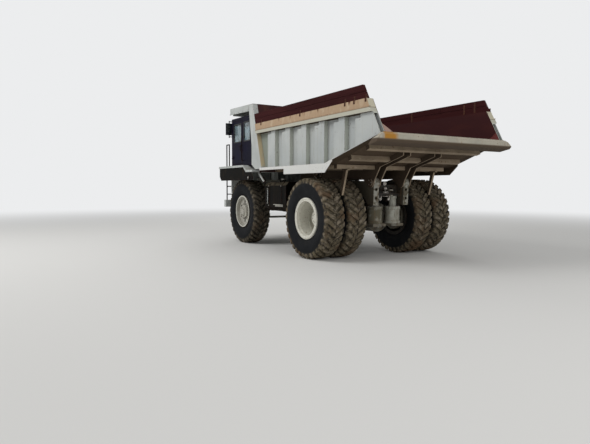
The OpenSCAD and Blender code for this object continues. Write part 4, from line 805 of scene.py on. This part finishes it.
class TRUCK_OT_rims(Operator):
    """Adds the lock rings, wheel nuts and hub bolts of the rims"""
    bl_idname = "truck.rims"
    bl_label = "Rim trim"

    def execute(self, context):
        ring = turned([(0.428, 0), (0.452, 0), (0.462, 0.008), (0.462, 0.016), (0.446, 0.022), (0.428, 0.014)],
                      steps=96, closed=True)
        twin_y = (TWIN_IN_Y + TWIN_OUT_Y) / 2
        # Each wheel's x, its lock ring's y, and of each ring of bolts the size, count, radius, y and first angle
        wheels = (("front", "front_wheel_", FRONT_X, FRONT_Y + 0.208,
                   ((0.045, 18, 0.225, FRONT_Y + 0.138, 0.0), (0.026, 10, 0.105, FRONT_Y + 0.23, 0.2))),
                  ("rear", "rear_wheels_", REAR_X, TWIN_OUT_Y + 0.208,
                   ((0.05, 20, 0.3, twin_y + 0.018, 0.0), (0.03, 16, 0.208, twin_y + 0.1, 0.1),
                    (0.024, 8, 0.09, twin_y + 0.27, 0.1))))
        for side, s in SIDES:
            for name, body, x, y, rings in wheels:
                out = (0, s, 0)
                make(name + "_lock_ring_" + side, aimed(ring, (x, s * y, AXLE_Z), out), "wheel_paint", body + side)
                nuts = [bolt_ring(size, count, radius, (x, s * far, AXLE_Z), out, start)
                        for size, count, radius, far, start in rings]
                make(name + "_wheel_nuts_" + side, joined(*nuts), "zinc", body + side)
        return {"FINISHED"}


class TRUCK_OT_planks(Operator):
    """Lays the wooden side boards of the bed as separate planks, strapped to the rail"""
    bl_idname = "truck.planks"
    bl_label = "Bed planks"

    def execute(self, context):
        sizes = context.scene.truck_trim
        low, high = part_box("side_boards")
        inner, middle, gap, wide = high.y - 0.06, (low.z + high.z) / 2, sizes.plank_gap / 2, sizes.strap_width / 2
        planks = []
        # Each course of planks is butted at its own place, so that the joints don't line up
        for a, b, joint in ((low.z, middle - gap, 0.42), (middle + gap, high.z, -0.66)):
            foot, top = ([head_at(z) - 0.005, joint, tail_at(z)] for z in (a, b))
            for k, (front, back) in enumerate(((0, gap), (gap, 0))):
                outline = [(foot[k] - front, a), (top[k] - front, b), (top[k + 1] + back, b), (foot[k + 1] + back, a)]
                planks.append(pushed(outline, inner, high.y))
        left = from_axle(*planks)
        # Each strap is a folded flat: down the board, out over the rail's edge and down the rail's face
        y, z, rail, thick = high.y, low.z, high.y + 0.0205, 0.006
        fold = [(y, z + 0.08), (y + thick, z + 0.08), (y + thick, z + thick), (rail + thick, z + thick),
                (rail + thick, z - 0.07), (rail, z - 0.07), (rail, z), (y, z)]
        places = [(x, 0, 0) for x in (2.36, 0.35, -1.42, -1.73, -2.1)]
        bolt = aimed(hex_bolt(0.024), (0, 0, 0), (0, 1, 0))
        strap = joined(pushed(fold, -wide, wide, X), shifted(bolt, (0, y + thick, z + 0.055)),
                       shifted(bolt, (0, rail + thick, z - 0.05)))
        # Flats on the inner face hold the upper planks to the lower ones, all but the last, where the tail slants
        flat = pushed(rectangle((inner - 0.008, z + 0.02), (inner + 0.0005, high.z - 0.03)), -wide, wide, X)
        straps = from_axle(many(strap, places), many(flat, places[:-1]))
        for side, boards, flats in (("left", left, straps), ("right", flipped(left), flipped(straps))):
            board = make("side_planks_" + side, boards, "boards", "bed", bevel=0.004)
            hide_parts("side_boards")
            make("plank_straps_" + side, flats, "strap", "bed", smooth=30)
        return {"FINISHED"}


class TRUCK_OT_bed_trim(Operator):
    """Adds the bed's welds, wear bar, hinge bolts and canopy bolts"""
    bl_idname = "truck.bed_trim"
    bl_label = "Bed trim"

    def execute(self, context):
        # Weld beads run up both edges of each rib, from the ledge, which rises with the tail, to the rail
        bead, weld_y, rib_width, rib_pitch = disc(0.007, 6), 1.642, 0.395, 0.752
        fronts = 2.215 - 0.1785 - rib_pitch * np.arange(6)
        welds = []
        for x in (*fronts, *(fronts[:-1] - rib_width)):
            foot = 2.17 + max(0.0, -0.85 - x) * 0.315
            welds.append(carried(bead, np.linspace([REAR_X + x, weld_y, foot], [REAR_X + x, weld_y, 3.012], 8)))
        # One more lies under the rail's cap, the length of the bed
        x0, x1 = REAR_X + head_at(RAIL_FOOT) - 0.02, REAR_X + tail_at(RAIL_FOOT) + 0.03
        welds.append(carried(bead, np.linspace([x0, 1.742, 3.197], [x1, 1.742, 3.197], 20) + [0, 0.039, 0]))
        make("bed_side_welds", mirrored(*welds), "bed_side", "bed")

        low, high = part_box("tail_lip")
        bar = np.array([(-0.024, 0), (-0.018, 0.009), (0, 0.012), (0.018, 0.009), (0.024, 0)])
        make("tail_wear_bar", pushed(bar + [low.x + 0.066, high.z - 0.0003], -1.69, 1.69), "lip", "bed")

        out = (0, 1, 0)
        make("hinge_pin_bolts", mirrored(bolt_ring(0.028, 3, 0.055, (REAR_X - 0.75, 0.58, 1.76), out, 0.5),
                                         bolt_ring(0.024, 2, 0.045, (REAR_X + 1.35, 0.735, 1.96), out, 0.5)),
             "zinc", "bed")
        # A row along the foot of the canopy's fold
        row = [(REAR_X + x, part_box("canopy")[1].y - 0.0005, 3.80) for x in np.arange(3.25, 4.5, 0.3)]
        make("canopy_bolts", mirrored(many(aimed(hex_bolt(0.022), (0, 0, 0), out), row)), "zinc", "bed")
        return {"FINISHED"}


class TRUCK_OT_cab_trim(Operator):
    """Adds the cab's window seals, door handle, wipers, grab bar and mirror glasses"""
    bl_idname = "truck.cab_trim"
    bl_label = "Cab trim"

    def execute(self, context):
        lip = disc(1, 10) * [0.008, 0.016]
        # Each pane's low and high corner, the axis across it and its place on that axis
        panes = [((3.2, 2.965), (3.62, 3.5), Y, 1.7), ((3.22, 2.965), (4.35, 3.5), Y, 0.55),
                 ((0.64, 2.905), (1.61, 3.5), X, 4.47), ((0.67, 2.965), (1.58, 3.5), X, 3.1),
                 ((3.79, 2.965), (4.31, 3.48), Y, 1.7)]
        *rings, door_ring = [carried(lip, loop_round(*pane), True) for pane in panes]
        make("cab_window_seals", from_axle(*rings), "seal", "chassis")
        make("door_window_seal", from_axle(door_ring), "seal", "cab_door")

        grip = bent([(3.765, 1.698, 2.70), (3.765, 1.745, 2.70), (3.765, 1.745, 2.86), (3.765, 1.698, 2.86)], 0.02)
        plate = pushed(rectangle((3.74, 2.68), (3.79, 2.88)), 1.698, 1.706)
        make("door_handle", from_axle(carried(disc(0.009, 10), grip), plate), "dark_paint", "cab_door",
             bevel=0.002)
        rail = bent([(3.66, 1.698, 2.42), (3.66, 1.75, 2.42), (3.66, 1.75, 3.1), (3.66, 1.698, 3.1)], 0.03)
        make("cab_grab_bar", from_axle(carried(disc(0.012, 10), rail)), "dark_paint", "chassis")

        wipers = []
        boss = turned([(0, 0), (0.022, 0), (0.022, 0.012), (0, 0.02)], steps=16)
        for y in (0.86, 1.34):
            arm = [(4.472, y, 2.87), (4.496, y, 2.875), (4.472, y + 0.16, 3.25)]
            wipers += [carried(disc(0.007, 8), bent(arm, 0.02)),
                       pushed(rectangle((4.4525, 3.06), (4.47, 3.42)), y + 0.15, y + 0.158),
                       aimed(boss, (4.47, y, 2.87), (1, 0, 0))]
        make("wipers", from_axle(*wipers), "dark_paint", "chassis")

        plates = [pushed(loop_round((y + 0.01, 3.22), (y + 0.19, 3.55), X, 0, 0.02)[:, 1:], 4.495, 4.5, X)
                  for y in (1.67, -1.87)]
        make("mirror_glasses", from_axle(*plates), "mirror", "chassis", bevel=0.002)
        return {"FINISHED"}


class TRUCK_OT_nose_trim(Operator):
    """Adds the head lamps' lenses and bezels, the marker lamps, the hood's louvres and the air cleaner's bands"""
    bl_idname = "truck.nose_trim"
    bl_label = "Nose trim"

    def execute(self, context):
        lens_r = 0.088
        bezel = turned([(lens_r, 0.002), (lens_r, 0.014), (0.094, 0.02), (0.108, 0.012), (0.113, 0)], steps=48,
                       closed=True)
        radius = np.linspace(lens_r, 0, 12)
        dome = turned(np.stack([radius, 0.012 + 0.022 * (1 - (radius / lens_r) ** 2)], -1), steps=48)
        marker = turned([(0, 0.012), (0.012, 0.011), (0.022, 0.006), (0.026, 0)], steps=32)
        hoop = turned([(0.026, 0), (0.026, 0.006), (0.036, 0), (0.036, -0.014), (0.027, -0.014)], steps=32, closed=True)
        for name, head, side, finish in (("lamp_bezels", bezel, hoop, "zinc"), ("lamp_lenses", dome, marker, "lamp")):
            lamps = [aimed(head, (REAR_X + 5.2, y, 1.7603), (1, 0, 0)) for y in (0.76, 1.08)]
            lamps.append(aimed(side, (REAR_X + 3.01, 1.86, 1.91), (0, 1, 0)))
            make(name, mirrored(*lamps), finish, "chassis")

        # Louvres: wedges pressed out of the hood's sides, open at their lower edge
        louvre = [(0.52, 0.045), (0.526, 0.038), (0.534, 0.004), (0.534, 0), (0.519, 0)]
        wedges = [pushed([(s * y, z + h) for y, h in louvre], x0, x1, X)
                  for x0, x1, s in ((4.6, 5.05, 1), (3.35, 4.1, -1), (4.25, 5.05, -1))
                  for z in np.arange(2.33, 2.5, 0.055)]
        make("hood_louvres", from_axle(*wedges), "body_paint", "chassis", bevel=0.003)

        band = [(0.238, -0.02), (0.246, -0.02), (0.248, -0.012), (0.248, 0.012), (0.246, 0.02), (0.238, 0.02)]
        cap = [(0.148, -0.03), (0.16, -0.03), (0.165, 0.0), (0.15, 0.022), (0.08, 0.04), (0, 0.046), (0, 0.0),
               (0.148, 0.0)]
        rounds = [turned(outline, (3.74, -1.15, z), closed=True)
                  for outline, z in ((band, 2.42), (band, 2.62), (band, 2.82), (cap, 3.03))]
        make("air_cleaner_bands", from_axle(*rounds), "body_paint", "chassis")
        return {"FINISHED"}


class TRUCK_OT_frame_trim(Operator):
    """Adds the caps, valve block, bolts and pipes of the frame, struts and rear axle"""
    bl_idname = "truck.frame_trim"
    bl_label = "Frame trim"

    def execute(self, context):
        # Pale caps on the bosses and pins of the cross member between the hinge posts
        caps = []
        for y, z, r, x in ((0, 1.61, 0.05, -0.62), (0, 1.74, 0.05, -0.59), (0.125, 1.375, 0.035, -0.59),
                           (-0.125, 1.375, 0.035, -0.59)):
            cap = turned([(0, 0.03), (r * 0.5, 0.026), (r * 0.85, 0.014), (r, 0.0), (r, -0.006)], steps=24)
            caps.append(aimed(cap, (x, y, z), (-1, 0, 0)))
        make("hitch_caps", from_axle(*caps), "white", "chassis")
        # The valve block under them, with a pipe from either side down to a boss
        back, middle = -0.662, -0.622
        parts = [pushed(loop_round((-0.052, 1.43), (0.052, 1.555), X, 0, 0.012)[:, 1:], back, -0.586, X)]
        plug = turned([(0, 0.02), (0.012, 0.018), (0.014, 0.008), (0.02, 0.006), (0.02, 0)], steps=6)
        for s in (1, -1):
            path = [(middle, s * 0.045, 1.5), (middle, s * 0.125, 1.5), (middle, s * 0.125, 1.40)]
            parts += [carried(disc(0.012, 10), bent(path, 0.03)), aimed(plug, (back, s * 0.025, 1.525), (-1, 0, 0)),
                      aimed(plug, (middle, s * 0.052, 1.5), (0, s, 0))]
        make("hitch_valve_block", from_axle(*parts), "white", "chassis", bevel=0.002)

        # Bolts: the axle's rear cover, its brake backs, the struts' glands and the front struts' lids
        cover = (REAR_X - 0.38, 0, AXLE_Z)
        sets = [bolt_ring(0.034, 16, 0.232, cover, (-1, 0, 0)),
                aimed(hex_bolt(0.06), np.subtract(cover, (0, 0, 0.12)), (-1, 0, 0))]
        for s in (1, -1):
            sets += [bolt_ring(0.03, 12, 0.295, (REAR_X, s * 0.77, AXLE_Z), (0, -s, 0)),
                     bolt_ring(0.026, 12, 0.155, (REAR_X - 0.565, s * 0.27, 1.2), (0, 0, 1)),
                     bolt_ring(0.026, 8, 0.085, (FRONT_X, s * 0.98, 1.93), (0, 0, 1)),
                     bolt_ring(0.024, 3, 0.028, (REAR_X + 1.15, s * 0.74, 0.72), (0, s, 0))]
        make("axle_and_strut_bolts", joined(*sets), "zinc", "chassis")

        # Two steel pipes from the hydraulic tank along the right rail, each with its nut, held by two clamps
        pipes, tank_y, rail_y = [], -0.852, -0.54
        nut = turned([(0, 0), (0.019, 0), (0.019, 0.03), (0.011, 0.034)], steps=6)
        for x, z, end in ((1.9, 1.52, 0.35), (1.96, 1.58, 0.75)):
            path = [(x, tank_y, z), (x, rail_y, z), (end, rail_y, z), (end, rail_y, 1.4), (end, -0.4, 1.4)]
            pipes += [carried(disc(0.011, 10), bent(path, 0.05)), aimed(nut, (x, tank_y, z), (0, 1, 0))]
        for x in (0.95, 1.75):
            pipes.append(pushed(rectangle((-0.524, 1.495), (-0.556, 1.605)), x, x + 0.03, X))
        make("hydraulic_pipes", from_axle(*pipes), "frame_paint", "chassis")
        return {"FINISHED"}


class TRUCK_OT_tank_trim(Operator):
    """Adds the tanks' caps, sight gauge, drain plugs and band bolts"""
    bl_idname = "truck.tank_trim"
    bl_label = "Tank trim"

    def execute(self, context):
        a = np.arange(24)
        rim = np.where(a % 2 == 0, 0.07, 0.065)[:, None] * disc(1, 24)
        cap = pushed(rim, 0, 0.03, Z)
        make("tank_caps", from_axle(shifted(cap, (1.85, 1.37, 1.84)),
                                    shifted((cap[0] * [1.2, 1.2, 1], cap[1]), (2.05, -1.01, 1.82))),
             "zinc", "chassis", bevel=0.003)
        x, y, heights = 2.38, 1.551, (1.22, 1.6)
        ends = [pushed(rectangle((x - 0.02, z - 0.018), (x + 0.02, z + 0.018)), y - 0.002, y + 0.034) for z in heights]
        make("fuel_gauge_ends", from_axle(*ends), "zinc", "chassis", bevel=0.004)
        tube = carried(disc(0.009, 10), np.linspace(*[(x, y + 0.02, z) for z in heights], 4))
        make("fuel_gauge_tube", from_axle(tube), "lamp", "chassis")
        bolts = [aimed(hex_bolt(0.03), (x, 1.558, z), (0, 1, 0)) for x in (1.655, 2.335) for z in (1.16, 1.68)]
        bolts.append(aimed(hex_bolt(0.05), (2.1, 1.2, 1.02), (0, 0, -1)))
        make("tank_bolts", mirrored(from_axle(*bolts)), "zinc", "chassis")
        return {"FINISHED"}


class TRUCK_OT_stage(Operator):
    """Sets the pale floor, the soft lights and the camera where the photograph was taken from"""
    bl_idname = "truck.stage"
    bl_label = "Stage and camera"

    def execute(self, context):
        scene = context.scene
        sizes = scene.truck_stage
        pale = tuple(sizes.backdrop)
        world = bpy.data.worlds.new("pale_sky")
        tree = empty_tree(world)
        # The camera, and what gloss and glass show of the sky, see it at full strength
        rays = add_node(tree, "LightPath").outputs
        seen = add_node(tree, "Math", {"operation": "MAXIMUM"}, {0: rays["Is Camera Ray"], 1: rays["Is Glossy Ray"]})
        seen = add_node(tree, "Math", {"operation": "MAXIMUM"}, {0: seen.outputs[0], 1: rays["Is Transmission Ray"]})
        strength = add_node(tree, "MapRange", None, {"Value": seen.outputs[0], "To Min": sizes.sky, "To Max": 1.0})
        sky = add_node(tree, "Background", None, {"Color": pale, "Strength": strength.outputs[0]})
        add_node(tree, "OutputWorld", None, {"Surface": sky.outputs[0]})
        scene.world = world
        scene.view_settings.view_transform = "Standard"

        floor = bpy.data.meshes.new("floor")
        points, faces = turned([(90, 0), (25, 0), (8, 0), (0, 0)], steps=96)
        floor.from_pydata(points.tolist(), [], faces)
        ground = bpy.data.objects.new("floor", floor)
        scene.collection.objects.link(ground)
        # The floor fades into the backdrop with distance, and keeps the truck's shadow near it
        material = bpy.data.materials.new("pale_floor")
        tree = empty_tree(material)
        place = add_node(tree, "TexCoord").outputs["Object"]
        far = add_node(tree, "VectorMath", {"operation": "LENGTH"}, {0: place})
        fade = add_node(tree, "MapRange", {"interpolation_type": "SMOOTHSTEP"},
                        {"Value": far.outputs["Value"], "From Min": 9.0, "From Max": 30.0})
        diffuse = add_node(tree, "BsdfDiffuse", None, {"Color": linear("#D9D8D5")})
        glow = add_node(tree, "Emission", None, {"Color": pale, "Strength": 1.0})
        mixed = add_node(tree, "MixShader", None, {0: fade.outputs[0], 1: diffuse.outputs[0], 2: glow.outputs[0]})
        add_node(tree, "OutputMaterial", None, {"Surface": mixed.outputs[0]})
        floor.materials.append(material)

        # Soft lamps aimed at the truck's middle: place, size and share of the key light's power
        for name, at, size, share in (("key", (3.0, 14.0, 13.0), 9.0, 0.9), ("rear_fill", (-15.0, 2.0, 8.0), 8.0, 0.3),
                                      ("front_fill", (13.0, -7.0, 9.0), 8.0, 0.25)):
            lamp = bpy.data.lights.new(name, "AREA")
            lamp.size, lamp.energy = size, sizes.light * share
            holder = bpy.data.objects.new(name, lamp)
            turn = (Vector(at) - Vector((0, 0, 1.6))).to_track_quat("Z", "Y")
            holder.matrix_world = Matrix.Translation(at) @ turn.to_matrix().to_4x4()
            scene.collection.objects.link(holder)

        # Found by fitting a pinhole to the photograph: place, heading, pitch and roll, and 518 px for 590 across
        yaw, pitch, roll = -0.5321, -0.0665, 0.0035
        camera = bpy.data.cameras.new("camera")
        camera.sensor_fit, camera.sensor_width, camera.lens = "HORIZONTAL", 36.0, 36.0 * 518.4 / 590
        camera.clip_end = 300
        viewer = bpy.data.objects.new("camera", camera)
        viewer.matrix_world = Matrix.Translation((-11.5484, 8.0602, 1.6403))
        for angle, axis in ((yaw - math.pi / 2, "Z"), (pitch + math.pi / 2, "X"), (roll, "Z")):
            viewer.matrix_world = viewer.matrix_world @ Matrix.Rotation(angle, 4, axis)
        scene.collection.objects.link(viewer)
        scene.camera = viewer
        return {"FINISHED"}


OPERATORS = (TRUCK_OT_stage, TRUCK_OT_finishes, TRUCK_OT_tyres, TRUCK_OT_rims, TRUCK_OT_planks, TRUCK_OT_bed_trim,
             TRUCK_OT_cab_trim, TRUCK_OT_nose_trim, TRUCK_OT_frame_trim, TRUCK_OT_tank_trim)
GROUPS = {"truck_paint": TruckPaint, "truck_soil": TruckSoil, "truck_tyre": TruckTyre, "truck_trim": TruckTrim,
          "truck_stage": TruckStage}


class TRUCK_PT_sidebar(Panel):
    """Lists the truck's pieces and their sizes"""
    bl_label = "Dump truck"
    bl_idname = "TRUCK_PT_sidebar"
    bl_space_type = "VIEW_3D"
    bl_region_type = "UI"
    bl_category = "Dump truck"

    def draw(self, context):
        for group, kind in GROUPS.items():
            box = self.layout.box()
            for prop in kind.__annotations__:
                box.prop(getattr(context.scene, group), prop)
        for operator in OPERATORS:
            self.layout.operator(operator.bl_idname)


def register():
    """Registers the groups, operators and panel."""
    for kind in (*GROUPS.values(), *OPERATORS, TRUCK_PT_sidebar):
        bpy.utils.register_class(kind)
    for name, kind in GROUPS.items():
        setattr(bpy.types.Scene, name, PointerProperty(type=kind))


def unregister():
    """Takes them back."""
    for name in GROUPS:
        delattr(bpy.types.Scene, name)
    for kind in (TRUCK_PT_sidebar, *reversed(OPERATORS), *reversed(GROUPS.values())):
        bpy.utils.unregister_class(kind)


def main():
    """Builds the truck's looks in order."""
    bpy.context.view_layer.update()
    register()
    for operator in OPERATORS:
        group, name = operator.bl_idname.split(".")
        getattr(getattr(bpy.ops, group), name)()


if __name__ == "__main__":
    main()
